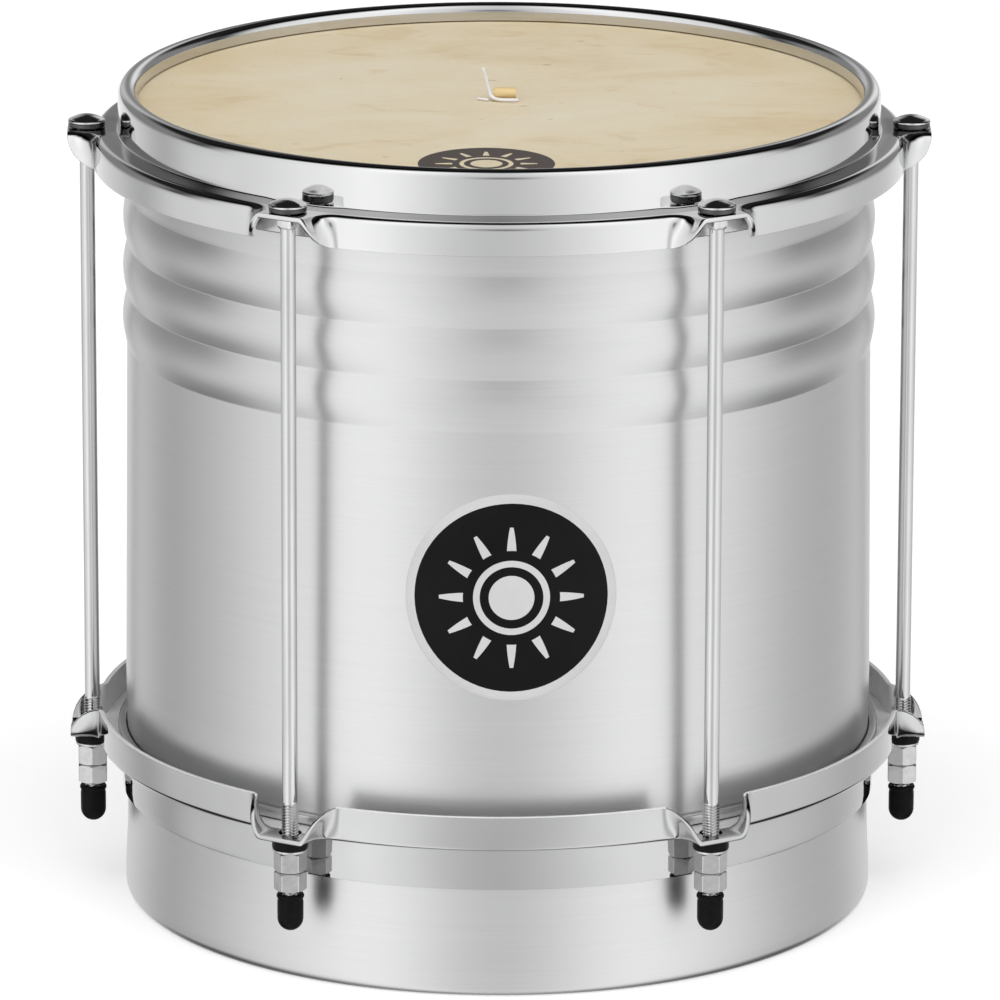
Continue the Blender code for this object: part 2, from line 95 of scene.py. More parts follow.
BADGE_R = 35.6
BADGE_Z = 139.9
BADGE_DEG = -88.5


# ------------------------------------------------------------ mesh functions
def make_object(name, verts, faces, sharp=35.0, materials=()):
    """A mesh object from points in millimetres."""
    mesh = bpy.data.meshes.new(name)
    mesh.from_pydata([tuple(float(c) * MM for c in v) for v in verts], [], faces)
    mesh.validate()
    mesh.update()
    mesh.shade_smooth()
    if sharp is not None:
        mesh.set_sharp_from_angle(angle=math.radians(sharp))
    for look in materials:
        mesh.materials.append(look)
    obj = bpy.data.objects.new(name, mesh)
    bpy.context.scene.collection.objects.link(obj)
    return obj


def fillet(points, radii, steps=4, closed=True):
    """Round the corners of a polyline; radii is one number or one per corner."""
    count = len(points)
    if not hasattr(radii, "__len__"):
        radii = [radii] * count
    out = []
    for i, p in enumerate(points):
        if radii[i] <= 0.0 or (not closed and i in (0, count - 1)):
            out.append(tuple(p))
            continue
        a = np.array(points[i - 1], float) - np.array(p, float)
        b = np.array(points[(i + 1) % count], float) - np.array(p, float)
        la, lb = np.linalg.norm(a), np.linalg.norm(b)
        a, b = a / la, b / lb
        half = 0.5 * math.acos(max(-1.0, min(1.0, float(a @ b))))
        if half > math.radians(88.0):
            out.append(tuple(p))
            continue
        reach = min(radii[i] / math.tan(half), 0.46 * la, 0.46 * lb)
        radius = reach * math.tan(half)
        middle = a + b
        middle /= np.linalg.norm(middle)
        centre = np.array(p, float) + middle * (radius / math.sin(half))
        start = np.array(p, float) + a * reach - centre
        end = np.array(p, float) + b * reach - centre
        turn = math.atan2(start[0] * end[1] - start[1] * end[0], float(start @ end))
        for k in range(steps + 1):
            t = turn * k / steps
            c, s = math.cos(t), math.sin(t)
            out.append((
                centre[0] + start[0] * c - start[1] * s,
                centre[1] + start[0] * s + start[1] * c,
            ))
    return out


def revolve(name, profile, sides, closed=True, sharp=35.0, materials=(), at=(0.0, 0.0), turn=0.0):
    """Turn a profile of (r, z) about the vertical through `at`.

    The profile runs down the outer side, so that faces point out.
    """
    verts, faces, rows = [], [], []
    for r, z in profile:
        if r < 1e-6:
            rows.append([len(verts)])
            verts.append((at[0], at[1], z))
        else:
            row = []
            for i in range(sides):
                a = turn + 2.0 * math.pi * i / sides
                row.append(len(verts))
                verts.append((at[0] + r * math.cos(a), at[1] + r * math.sin(a), z))
            rows.append(row)
    count = len(rows)
    last = count if closed else count - 1
    for k in range(last):
        one, two = rows[k], rows[(k + 1) % count]
        if len(one) == 1 and len(two) == 1:
            continue
        for i in range(sides):
            j = (i + 1) % sides
            if len(one) == 1:
                faces.append((one[0], two[i], two[j]))
            elif len(two) == 1:
                faces.append((one[i], two[0], one[j]))
            else:
                faces.append((one[i], two[i], two[j], one[j]))
    return make_object(name, verts, faces, sharp, materials)


def arc(cx, cz, radius, start, end, parts):
    out = []
    for i in range(parts + 1):
        a = math.radians(start + (end - start) * i / parts)
        out.append((cx + radius * math.cos(a), cz + radius * math.sin(a)))
    return out


def smooth(t):
    t = min(1.0, max(0.0, t))
    return t * t * (3.0 - 2.0 * t)


def offset(points, distance):
    """The polyline moved to its right-hand side."""
    p = np.array(points, float)
    d = np.diff(p, axis=0)
    d /= np.linalg.norm(d, axis=1)[:, None]
    n = np.stack([d[:, 1], -d[:, 0]], axis=1)
    at = np.vstack([n[:1], n[:-1] + n[1:], n[-1:]])
    at /= np.linalg.norm(at, axis=1)[:, None]
    cosine = np.ones(len(p))
    cosine[1:-1] = np.clip((at[1:-1] * n[1:]).sum(axis=1), 0.6, 1.0)
    return p + at * (distance / cosine)[:, None]


def sheet_end(outer, inner, out_dir, parts=4):
    """Points round the free edge of a sheet, from its outer to its inner face."""
    outer, inner, out_dir = (np.array(v, float) for v in (outer, inner, out_dir))
    middle, half = 0.5 * (outer + inner), 0.5 * (outer - inner)
    depth = np.linalg.norm(half)
    points = []
    for k in range(1, parts):
        a = math.pi * k / parts
        c = math.copysign(abs(math.cos(a)) ** 0.6, math.cos(a))
        s = math.sin(a) ** 0.6
        points.append(tuple(middle + half * c + out_dir * depth * s))
    return points


def tube(name, path, radius, sides=10, plies=0, lay=4.0, materials=(), taper=0.0):
    """A closed tube along a path in millimetres, with twisted plies if asked."""
    p = np.array(path, float)
    step = np.diff(p, axis=0)
    length = np.concatenate([[0.0], np.cumsum(np.linalg.norm(step, axis=1))])
    tangent = np.gradient(p, axis=0)
    tangent /= np.linalg.norm(tangent, axis=1)[:, None]
    side = np.cross(tangent[0], (0.0, 0.0, 1.0))
    if np.linalg.norm(side) < 0.1:
        side = np.cross(tangent[0], (0.0, 1.0, 0.0))
    side /= np.linalg.norm(side)
    verts, faces = [], []
    for i in range(len(p)):
        side = side - tangent[i] * (side @ tangent[i])
        side /= np.linalg.norm(side)
        up = np.cross(tangent[i], side)
        r = radius
        if taper and i in (0, len(p) - 1):
            r = radius * (1.0 - taper)
        for k in range(sides):
            a = 2.0 * math.pi * k / sides
            bulge = 1.0
            if plies:
                bulge = 0.9 + 0.1 * abs(math.cos(0.5 * plies * (a - 2.0 * math.pi * length[i] / lay))) * 2.0
            verts.append(tuple(p[i] + (side * math.cos(a) + up * math.sin(a)) * r * bulge))
    for i in range(len(p) - 1):
        for k in range(sides):
            m = (k + 1) % sides
            faces.append((i * sides + k, i * sides + m, (i + 1) * sides + m, (i + 1) * sides + k))
    first, final = len(verts), len(verts) + 1
    verts.append(tuple(p[0] - tangent[0] * radius * 0.3))
    verts.append(tuple(p[-1] + tangent[-1] * radius * 0.3))
    base = (len(p) - 1) * sides
    for k in range(sides):
        m = (k + 1) % sides
        faces.append((first, m, k))
        faces.append((final, base + k, base + m))
    return make_object(name, verts, faces, 60.0, materials)


def spline(points, parts):
    """Points on a Catmull-Rom curve through the given ones."""
    pts = [np.array(p, float) for p in points]
    pts = [2 * pts[0] - pts[1]] + pts + [2 * pts[-1] - pts[-2]]
    out = []
    for i in range(1, len(pts) - 2):
        p0, p1, p2, p3 = pts[i - 1:i + 3]
        for k in range(parts):
            t = k / parts
            out.append(0.5 * (
                2 * p1 + (p2 - p0) * t + (2 * p0 - 5 * p1 + 4 * p2 - p3) * t * t
                + (3 * p1 - p0 - 3 * p2 + p3) * t ** 3
            ))
    out.append(pts[-2])
    return out


def lug_angle(number):
    return 2.0 * math.pi * (number - 1) / LUGS


def lug_xy(number):
    a = lug_angle(number)
    return (ROD_CIRCLE_R * math.cos(a), ROD_CIRCLE_R * math.sin(a))


# ------------------------------------------------------------------ materials
class Look:
    """A Principled material with small helpers for its nodes."""

    def __init__(self, name):
        self.material = bpy.data.materials.new(name)
        self.material.use_nodes = True
        self.tree = self.material.node_tree
        self.nodes = self.tree.nodes
        self.shader = self.nodes["Principled BSDF"]
        self.coords = self.nodes.new("ShaderNodeTexCoord").outputs["Object"]

    def set(self, **values):
        for key, value in values.items():
            self.shader.inputs[key.replace("_", " ")].default_value = value
        return self

    def feed(self, socket, value):
        if hasattr(value, "default_value") and hasattr(value, "is_output"):
            self.tree.links.new(value, socket)
        else:
            socket.default_value = value

    def stretch(self, x, y, z, shift=(0.0, 0.0, 0.0)):
        node = self.nodes.new("ShaderNodeMapping")
        node.inputs["Scale"].default_value = (x, y, z)
        node.inputs["Location"].default_value = shift
        self.tree.links.new(self.coords, node.inputs["Vector"])
        return node.outputs["Vector"]

    def noise(self, vector, scale=1.0, detail=3.0, rough=0.5, warp=0.0):
        node = self.nodes.new("ShaderNodeTexNoise")
        node.inputs["Scale"].default_value = scale
        node.inputs["Detail"].default_value = detail
        node.inputs["Roughness"].default_value = rough
        node.inputs["Distortion"].default_value = warp
        self.tree.links.new(vector, node.inputs["Vector"])
        return node.outputs["Fac"]

    def ramp(self, fac, *stops):
        node = self.nodes.new("ShaderNodeValToRGB")
        points = node.color_ramp.elements
        while len(points) < len(stops):
            points.new(0.5)
        for point, (place, colour) in zip(points, stops):
            point.position = place
            if not hasattr(colour, "__len__"):
                colour = (colour,) * 3
            point.color = (*colour, 1.0)
        self.tree.links.new(fac, node.inputs["Fac"])
        return node.outputs["Color"]

    def math(self, kind, a, b=0.0, c=0.0, clamp=False):
        node = self.nodes.new("ShaderNodeMath")
        node.operation = kind
        node.use_clamp = clamp
        for socket, value in zip(node.inputs, (a, b, c)):
            self.feed(socket, value)
        return node.outputs[0]

    def span(self, value, low, high, to_low, to_high):
        node = self.nodes.new("ShaderNodeMapRange")
        node.interpolation_type = "SMOOTHSTEP"
        for key, v in zip(("Value", "From Min", "From Max", "To Min", "To Max"), (value, low, high, to_low, to_high)):
            self.feed(node.inputs[key], v)
        return node.outputs["Result"]

    def mix(self, fac, a, b, kind="MIX"):
        node = self.nodes.new("ShaderNodeMix")
        node.data_type = "RGBA"
        node.blend_type = kind
        for socket, value in ((node.inputs["Factor"], fac), (node.inputs[6], a), (node.inputs[7], b)):
            if hasattr(value, "__len__") and not hasattr(value, "is_output"):
                value = (*value, 1.0)
            self.feed(socket, value)
        return node.outputs[2]

    def bump(self, height, strength, distance, under=None):
        node = self.nodes.new("ShaderNodeBump")
        node.inputs["Strength"].default_value = strength
        node.inputs["Distance"].default_value = distance
        self.tree.links.new(height, node.inputs["Height"])
        if under is not None:
            self.tree.links.new(under, node.inputs["Normal"])
        return node.outputs["Normal"]

    def into(self, key, value):
        self.feed(self.shader.inputs[key], value)
        return self


def brushed_aluminium():
    """Satin sheet, brushed round the drum."""
    look = Look("brushed_aluminium")
    fine = look.noise(look.stretch(26.0, 26.0, 2100.0), 1.0, 4.0, 0.6)
    broad = look.noise(look.stretch(7.0, 7.0, 420.0, (3.1, 1.7, 0.0)), 1.0, 3.0, 0.5)
    patch = look.noise(look.stretch(9.0, 9.0, 9.0), 1.0, 2.0, 0.5)
    grain = look.math("ADD", look.math("MULTIPLY", fine, 0.65), look.math("MULTIPLY", broad, 0.35))
    tone = look.ramp(grain, (0.30, (0.626, 0.628, 0.632)), (0.70, (0.672, 0.673, 0.675)))
    tone = look.mix(look.span(patch, 0.35, 0.7, 0.0, 0.10), tone, (0.65, 0.65, 0.655))
    look.into("Base Color", tone)
    look.into("Roughness", look.span(grain, 0.25, 0.75, 0.345, 0.368))
    look.into("Normal", look.bump(grain, 0.06, 0.00004))
    tangent = look.nodes.new("ShaderNodeTangent")
    tangent.direction_type = "RADIAL"
    tangent.axis = "Z"
    look.into("Tangent", tangent.outputs["Tangent"])
    look.set(Metallic=1.0, Anisotropic=0.5, Anisotropic_Rotation=0.25)
    return look.material


def chrome(name, low, high, rough, wave=0.00002):
    """Polished plate with faint handling marks and the slight waviness of pressed sheet."""
    look = Look(name)
    marks = look.noise(look.stretch(85.0, 85.0, 85.0), 1.0, 5.0, 0.62, 0.4)
    cloud = look.noise(look.stretch(22.0, 22.0, 22.0, (1.3, 0.4, 2.0)), 1.0, 2.0, 0.5)
    look.into("Base Color", look.ramp(cloud, (0.3, low), (0.7, high)))
    look.into("Roughness", look.span(marks, 0.42, 0.78, rough, rough + 0.07))
    look.into("Normal", look.bump(cloud, 0.12, wave))
    return look.set(Metallic=1.0).material


def plated(name, low, high, rough, along=(60.0, 60.0, 60.0)):
    look = Look(name)
    grain = look.noise(look.stretch(*along), 1.0, 4.0, 0.6)
    pits = look.noise(look.stretch(900.0, 900.0, 900.0), 1.0, 2.0, 0.5)
    look.into("Base Color", look.ramp(grain, (0.3, low), (0.72, high)))
    look.into("Roughness", look.span(grain, 0.3, 0.75, rough, rough + 0.09))
    look.into("Normal", look.bump(pits, 0.05, 0.00003))
    return look.set(Metallic=1.0).material


def plated_inside_painted_light():
    """Plate on the side that faces the drum and in the trough, painted light: even, pale and half-diffuse, lighter than
    polished plate shows there.
    """
    look = Look("plate_inside_painted_light")
    cloud = look.noise(look.stretch(140.0, 140.0, 140.0), 1.0, 4.0, 0.6)
    look.into("Base Color", look.ramp(cloud, (0.3, (0.780, 0.781, 0.784)), (0.7, (0.850, 0.850, 0.852))))
    look.into("Roughness", look.span(cloud, 0.3, 0.7, 0.20, 0.27))
    return look.set(Metallic=0.15).material


def natural_skin():
    """Scraped hide: cloudy, with fibres, pale scars, brown flecks and a painted yellow-brown shade towards the rim,
    under the hoop's lip.
    """
    look = Look("natural_skin")
    split = look.nodes.new("ShaderNodeSeparateXYZ")
    look.tree.links.new(look.coords, split.inputs[0])
    x, y = split.outputs["X"], split.outputs["Y"]
    radius = look.math("SQRT", look.math("ADD", look.math("MULTIPLY", x, x), look.math("MULTIPLY", y, y)))
    cloud = look.noise(look.stretch(17.0, 26.0, 20.0, (0.7, 0.2, 0.0)), 1.0, 4.0, 0.55, 0.6)
    fibre = look.noise(look.stretch(110.0, 620.0, 300.0), 1.0, 4.0, 0.62, 0.5)
    pore = look.noise(look.stretch(1500.0, 1900.0, 1500.0), 1.0, 2.0, 0.5)
    fleck = look.noise(look.stretch(95.0, 210.0, 150.0, (4.0, 9.0, 0.0)), 1.0, 3.0, 0.55, 0.3)
    scar = look.noise(look.stretch(34.0, 70.0, 50.0, (8.0, 3.0, 0.0)), 1.0, 3.0, 0.5, 1.4)
    tone = look.ramp(
        cloud, (0.28, (0.665, 0.525, 0.315)), (0.50, (0.745, 0.640, 0.450)), (0.72, (0.775, 0.695, 0.535)),
    )
    tone = look.mix(look.span(fibre, 0.36, 0.66, 0.0, 0.40), tone, (0.81, 0.745, 0.595))
    tone = look.mix(look.span(scar, 0.60, 0.72, 0.0, 0.35), tone, (0.600, 0.440, 0.240))
    tone = look.mix(look.span(fleck, 0.70, 0.76, 0.0, 0.75), tone, (0.400, 0.245, 0.110))
    tone = look.mix(look.span(pore, 0.52, 0.78, 0.0, 0.26), tone, (0.470, 0.330, 0.180))
    # painted shade: the skin turns darker and yellow-brown towards the rim, under the hoop's lip
    rim = look.span(radius, 0.070, 0.126, 0.0, 0.30)
    tone = look.mix(rim, tone, (0.660, 0.500, 0.265))
    look.into("Base Color", tone)
    look.into("Roughness", look.span(fibre, 0.3, 0.7, 0.46, 0.62))
    rough = look.bump(fibre, 0.30, 0.00012)
    look.into("Normal", look.bump(pore, 0.16, 0.00006, rough))
    look.shader.inputs["Subsurface Weight"].default_value = 0.12
    look.shader.inputs["Subsurface Radius"].default_value = (1.0, 0.7, 0.35)
    look.shader.inputs["Subsurface Scale"].default_value = 0.0015
    return look.material


def ink():
    look = Look("print_ink")
    worn = look.noise(look.stretch(260.0, 700.0, 300.0), 1.0, 4.0, 0.62, 0.4)
    pore = look.noise(look.stretch(1500.0, 1900.0, 1500.0), 1.0, 2.0, 0.5)
    tone = look.ramp(worn, (0.30, (0.052, 0.041, 0.036)), (0.72, (0.088, 0.070, 0.060)))
    tone = look.mix(look.span(pore, 0.62, 0.80, 0.0, 0.35), tone, (0.21, 0.165, 0.12))
    look.into("Base Color", tone)
    look.into("Roughness", look.span(worn, 0.3, 0.7, 0.44, 0.58))
    look.into("Normal", look.bump(worn, 0.2, 0.00005))
    return look.material


def film(name, low, high, rough):
    """Printed plastic film; the coat weight is 0, so no clear layer is drawn."""
    look = Look(name)
    cloud = look.noise(look.stretch(40.0, 40.0, 40.0), 1.0, 4.0, 0.6)
    dust = look.noise(look.stretch(1300.0, 1300.0, 1300.0), 1.0, 2.0, 0.5)
    tone = look.ramp(cloud, (0.3, low), (0.7, high))
    look.into("Base Color", look.mix(look.span(dust, 0.66, 0.8, 0.0, 0.25), tone, tuple(1.25 * c + 0.01 for c in high)))
    look.into("Roughness", look.span(cloud, 0.3, 0.7, rough, rough + 0.08))
    look.into("Normal", look.bump(cloud, 0.08, 0.00004))
    look.set(Coat_Weight=0.0)
    look.shader.inputs["Specular IOR Level"].default_value = 0.09
    look.shader.inputs["Coat Roughness"].default_value = 0.08
    return look.material


def rubber(name, tone, rough):
    look = Look(name)
    grain = look.noise(look.stretch(420.0, 420.0, 420.0), 1.0, 4.0, 0.6)
    speck = look.noise(look.stretch(2600.0, 2600.0, 2600.0), 1.0, 2.0, 0.5)
    look.into("Base Color", look.ramp(grain, (0.3, tuple(0.75 * c for c in tone)), (0.72, tuple(1.5 * c for c in tone))))
    look.into("Roughness", look.span(grain, 0.3, 0.72, rough, rough + 0.14))
    look.into("Normal", look.bump(speck, 0.12, 0.00005))
    look.shader.inputs["Specular IOR Level"].default_value = 0.07
    return look.material


def wood(name, dark, pale, along, rough=0.5):
    """Straight-grained wood; `along` holds the scale in x, y and z."""
    look = Look(name)
    grain = look.noise(look.stretch(*along), 1.0, 5.0, 0.62, 0.7)
    cloud = look.noise(look.stretch(60.0, 60.0, 30.0), 1.0, 2.0, 0.5)
    tone = look.ramp(grain, (0.32, dark), (0.68, pale))
    tone = look.mix(look.span(cloud, 0.4, 0.7, 0.0, 0.25), tone, dark)
    look.into("Base Color", tone)
    look.into("Roughness", look.span(grain, 0.3, 0.7, rough, rough + 0.12))
    look.into("Normal", look.bump(grain, 0.35, 0.00012))
    return look.material


def cotton(name, tone):
    look = Look(name)
    fuzz = look.noise(look.stretch(2400.0, 2400.0, 2400.0), 1.0, 3.0, 0.6)
    soil = look.noise(look.stretch(240.0, 240.0, 240.0), 1.0, 3.0, 0.5)
    base = look.ramp(fuzz, (0.3, tuple(0.86 * c for c in tone)), (0.7, tone))
    look.into("Base Color", look.mix(look.span(soil, 0.5, 0.8, 0.0, 0.25), base, (0.66, 0.60, 0.50)))
    look.into("Roughness", look.span(fuzz, 0.3, 0.7, 0.66, 0.82))
    look.into("Normal", look.bump(fuzz, 0.25, 0.00008))
    look.shader.inputs["Sheen Weight"].default_value = 0.3
    look.shader.inputs["Sheen Roughness"].default_value = 0.4
    return look.material


ALUMINIUM = brushed_aluminium()
CHROME = chrome("chrome", (0.600, 0.602, 0.606), (0.655, 0.656, 0.660), 0.035)
# painted shade: a darker copy of the hoop chrome, used on the lower hoop's outside
CHROME_LOW_PAINTED_SHADE = chrome("chrome_low_painted_shade", (0.480, 0.482, 0.486), (0.530, 0.531, 0.535), 0.035)
PLATE_INSIDE_PAINTED_LIGHT = plated_inside_painted_light()
# painted dark reflection: a darker, rougher copy of the hoop chrome for the top hoop's flat ledge
CHROME_LEDGE_PAINTED_REFLECTION = chrome("chrome_ledge_painted_reflection", (0.340, 0.341, 0.344), (0.400, 0.401, 0.404), 0.09)
ROD_STEEL = plated("rod_steel", (0.560, 0.562, 0.566), (0.660, 0.661, 0.664), 0.09, (500.0, 500.0, 26.0))
# painted dark reflection and shade: a near-black plate for the band round the rod head's rim
ROD_RIM_PAINTED_DARK = plated("rod_rim_painted_dark", (0.060, 0.060, 0.062), (0.120, 0.120, 0.123), 0.24, (90.0, 90.0, 400.0))
NUT_STEEL = plated("nut_steel", (0.500, 0.500, 0.502), (0.600, 0.600, 0.600), 0.17, (300.0, 300.0, 300.0))
RING_STEEL = plated("ring_steel", (0.600, 0.600, 0.605), (0.700, 0.700, 0.705), 0.30, (30.0, 30.0, 700.0))
SKIN = natural_skin()
INK = ink()
FILM_BLACK = film("film_black", (0.0045, 0.0045, 0.0047), (0.0070, 0.0070, 0.0072), 0.22)
FILM_SILVER = film("film_silver", (0.520, 0.520, 0.520), (0.575, 0.575, 0.575), 0.34)
RUBBER = rubber("black_rubber", (0.0040, 0.0040, 0.0041), 0.34)
BUSH = rubber("black_bush", (0.0060, 0.0060, 0.0062), 0.30)
BAMBOO = wood("bamboo", (0.50, 0.335, 0.130), (0.70, 0.530, 0.270), (900.0, 900.0, 14.0), 0.38)
PEG_WOOD = wood("peg_wood", (0.640, 0.450, 0.195), (0.800, 0.640, 0.360), (40.0, 700.0, 700.0), 0.46)
THREAD = cotton("thread", (0.86, 0.84, 0.86))


# ----------------------------------------------------------------------- shell
def shell_radius(z):
    if z >= SHELL_LOW_Z:
        t = (z - SHELL_LOW_Z) / (Z_TOP - SHELL_LOW_Z)
        return SHELL_R_LOW + (SHELL_R_TOP - SHELL_R_LOW) * t
    if z >= 50.0:
        return SHELL_R_LOW + (SHELL_R_HOOP - SHELL_R_LOW) * smooth((SHELL_LOW_Z - z) / 30.0)
    if z >= SHELL_WAIST_Z:
        t = smooth((50.0 - z) / (50.0 - SHELL_WAIST_Z))
        return SHELL_R_HOOP + (SHELL_R_WAIST - SHELL_R_HOOP) * t
    t = smooth((SHELL_WAIST_Z - z) / (SHELL_WAIST_Z - FOOT_ROLL_R))
    return SHELL_R_WAIST + (SHELL_R_FOOT - SHELL_R_WAIST) * t


def make_shell():
    top_r = shell_radius(SHELL_EDGE_Z)
    outer = [(top_r - EDGE_ROLL_R - 1.5, SHELL_EDGE_Z)]
    outer += arc(top_r - EDGE_ROLL_R, SHELL_EDGE_Z - EDGE_ROLL_R, EDGE_ROLL_R, 90.0, 0.0, 8)
    outer += [(shell_radius(z), z) for z in (272.0, 266.0, 260.0, 255.0, 251.0)]
    for i in range(BEADS):
        high = BEAD_TOP_Z - i * BEAD_PITCH
        for t in (0.0, 0.012, 0.03, 0.07, 0.14, 0.22, 0.31, 0.41, 0.5, 0.59, 0.69, 0.78, 0.86, 0.93, 0.97, 0.988):
            z = high - t * BEAD_PITCH
            outer.append((shell_radius(z) + BEAD_H * math.sin(math.pi * t), z))
    bottom = BEAD_TOP_Z - BEADS * BEAD_PITCH
    outer += [(shell_radius(z), z) for z in (bottom, bottom - 0.4, bottom - 3.0, 180.0, 150.0, 120.0, 100.0, 80.0)]
    outer += [(shell_radius(z), z) for z in (74.0, 68.0, 62.0, 56.0, 50.0, 44.0, 39.0, 33.0, 28.0, 22.0, 16.0, 11.0, 7.0)]
    outer += arc(SHELL_R_FOOT - FOOT_ROLL_R, FOOT_ROLL_R, FOOT_ROLL_R, 0.0, -90.0, 8)
    outer.append((SHELL_R_FOOT - FOOT_ROLL_R - FOOT_FLANGE + 0.6, 0.0))
    inner = offset(outer, SHELL_WALL)
    profile = list(outer)
    profile += sheet_end(outer[-1], inner[-1], (-1.0, 0.0))
    profile += [tuple(p) for p in inner[::-1]]
    profile += sheet_end(inner[0], outer[0], (-1.0, 0.0))
    return revolve("shell_sheet", profile, 288, True, 40.0, (ALUMINIUM,))


# ----------------------------------------------------------------------- hoops
def fold(degrees):
    pitch = 360.0 / LUGS
    away = abs((degrees + pitch / 2.0) % pitch - pitch / 2.0)
    return smooth((away - EAR_FLAT_DEG) / (EAR_END_DEG - EAR_FLAT_DEG))


def arm(degrees, skirt_drop, ear_tip, bend_r, bend_parts=8, straight_parts=5):
    """From the step outwards: a flat ear at a lug, a skirt elsewhere."""
    share = fold(degrees)
    turn = 0.5 * math.pi * share
    strip = 0.5 * math.pi * bend_r
    start = HOOP_R_SKIRT - bend_r
    straight_ear = ear_tip - start - strip
    straight = straight_ear + (skirt_drop - bend_r - straight_ear) * share
    points = []
    for k in range(bend_parts + 1):
        part = k / bend_parts
        a = turn * part
        if turn < 0.0001:
            points.append((start + strip * part, 0.0))
        else:
            radius = strip / turn
            points.append((start + radius * math.sin(a), radius * (1.0 - math.cos(a))))
    r, drop = points[-1]
    for k in range(1, straight_parts + 1):
        part = straight * k / straight_parts
        points.append((r + part * math.cos(turn), drop + part * math.sin(turn)))
    return points


def upper_section(degrees):
    roll = HOOP_LIP_ROLL
    inside = UPPER_R_WALL - 2.0 * roll
    points = [(inside, HOOP_LIP_Z), (inside, HOOP_LIP_Z + 1.1)]
    points += arc(UPPER_R_WALL - roll, Z_TOP - roll, roll, 180.0, 0.0, 20)
    points += [(UPPER_R_WALL, 279.0), (UPPER_R_WALL, 274.5)]
    share = fold(degrees)
    foot, low = UPPER_FLANGE_Z + UPPER_RISE * share, UPPER_FLANGE_Z + 0.1 * share
    points += arc(UPPER_R_WALL + 0.5, foot + 0.5, 0.5, 180.0, 270.0, 5)
    points.append((UPPER_R_WALL + 3.2, 0.5 * (foot + low)))
    points += [(r, low - d) for r, d in arm(degrees, low - UPPER_SKIRT_Z, UPPER_EAR_TIP_R, UPPER_BEND_R)]
    return points


def lower_section(degrees):
    points = [(LOWER_R_WALL, LOWER_WALL_Z), (LOWER_R_WALL, 42.0), (LOWER_R_WALL, 47.0)]
    points += arc(LOWER_R_WALL + HOOP_FOOT, LOWER_FLANGE_Z - HOOP_FOOT, HOOP_FOOT, 180.0, 90.0, 5)
    points.append((LOWER_R_WALL + 3.4, LOWER_FLANGE_Z))
    drop = LOWER_SKIRT_Z - LOWER_FLANGE_Z
    points += [(r, LOWER_FLANGE_Z + d) for r, d in arm(degrees, drop, LOWER_EAR_TIP_R, HOOP_BEND_R)]
    return points


def hoop_columns():
    half = [i * 0.42 for i in range(0, 25)]
    between = list(np.linspace(10.5, 49.5, 21)[:])
    one = [-a for a in reversed(half[1:])] + half
    pitch = 360.0 / LUGS
    out = []
    for lug in range(LUGS):
        out += [pitch * lug + a for a in one]
        out += [pitch * lug + a for a in between if 10.3 < a < 49.7]
    return out


def make_hoop(name, section, side, hole):
    """A closed sheet: outer face, rounded free edges and inner face, lofted round the drum."""
    columns = hoop_columns()
    outer = []
    for degrees in columns:
        a = math.radians(degrees)
        outer.append([(r * math.cos(a), r * math.sin(a), z) for r, z in section(degrees)])
    outer = np.array(outer)
    around = np.roll(outer, -1, axis=0) - np.roll(outer, 1, axis=0)
    along = np.gradient(outer, axis=1)
    normal = np.cross(along, around) * side
    normal /= np.linalg.norm(normal, axis=2)[:, :, None]
    inner = outer - normal * HOOP_T
    rows = [outer[:, j] for j in range(outer.shape[1])]
    last_dir = along[:, -1] / np.linalg.norm(along[:, -1], axis=1)[:, None]
    first_dir = -along[:, 0] / np.linalg.norm(along[:, 0], axis=1)[:, None]

    def rim(start, end, out_dir):
        middle, half = 0.5 * (start + end), 0.5 * (start - end)
        made = []
        for k in range(1, 6):
            a = math.pi * k / 6
            c = math.copysign(abs(math.cos(a)) ** 0.5, math.cos(a))
            s = math.sin(a) ** 0.5
            made.append(middle + half * c + out_dir * (0.5 * HOOP_T * 0.8) * s)
        return made

    rows += rim(outer[:, -1], inner[:, -1], last_dir)
    rows += [inner[:, j] for j in range(outer.shape[1] - 1, -1, -1)]
    rows += rim(inner[:, 0], outer[:, 0], first_dir)
    count, wide = len(rows), len(columns)
    verts = [tuple(p) for row in rows for p in row]
    faces = []
    for k in range(count):
        m = (k + 1) % count
        for i in range(wide):
            j = (i + 1) % wide
            face = (k * wide + i, m * wide + i, m * wide + j, k * wide + j)
            faces.append(face if side > 0 else tuple(reversed(face)))
    obj = make_object(name, verts, faces, 40.0, (CHROME,))
    cutters = []
    for number in range(1, LUGS + 1):
        x, y = lug_xy(number)
        cutters.append(hole(x, y, lug_angle(number)))
    for tool in cutters:
        cut = obj.modifiers.new("hole", "BOOLEAN")
        cut.operation = "DIFFERENCE"
        cut.solver = "EXACT"
        cut.object = tool
    bpy.context.view_layer.update()
    graph = bpy.context.evaluated_depsgraph_get()
    mesh = bpy.data.meshes.new_from_object(obj.evaluated_get(graph))
    obj.modifiers.clear()
    obj.data = mesh
    mesh.shade_smooth()
    mesh.set_sharp_from_angle(angle=math.radians(40.0))
    for tool in cutters:
        bpy.data.objects.remove(tool, do_unlink=True)
    return obj


def square_hole(x, y, turn):
    return prism("cut", x, y, 3.2 * math.sqrt(2.0), 4, turn + math.pi / 4, UPPER_FLANGE_Z - 8.0, UPPER_FLANGE_Z + 5.0)


def round_hole(x, y, turn):
    return prism("cut", x, y, 3.9, 40, turn + 0.02, LOWER_FLANGE_Z - 5.0, LOWER_FLANGE_Z + 8.0)


def prism(name, x, y, radius, sides, turn, low, high):
    verts, faces = [], []
    for z in (low, high):
        for i in range(sides):
            a = turn + 2.0 * math.pi * i / sides
            verts.append((x + radius * math.cos(a), y + radius * math.sin(a), z))
    for i in range(sides):
        j = (i + 1) % sides
        faces.append((i, j, sides + j, sides + i))
    faces.append(tuple(reversed(range(sides))))
    faces.append(tuple(range(sides, 2 * sides)))
    return make_object(name, verts, faces, None)


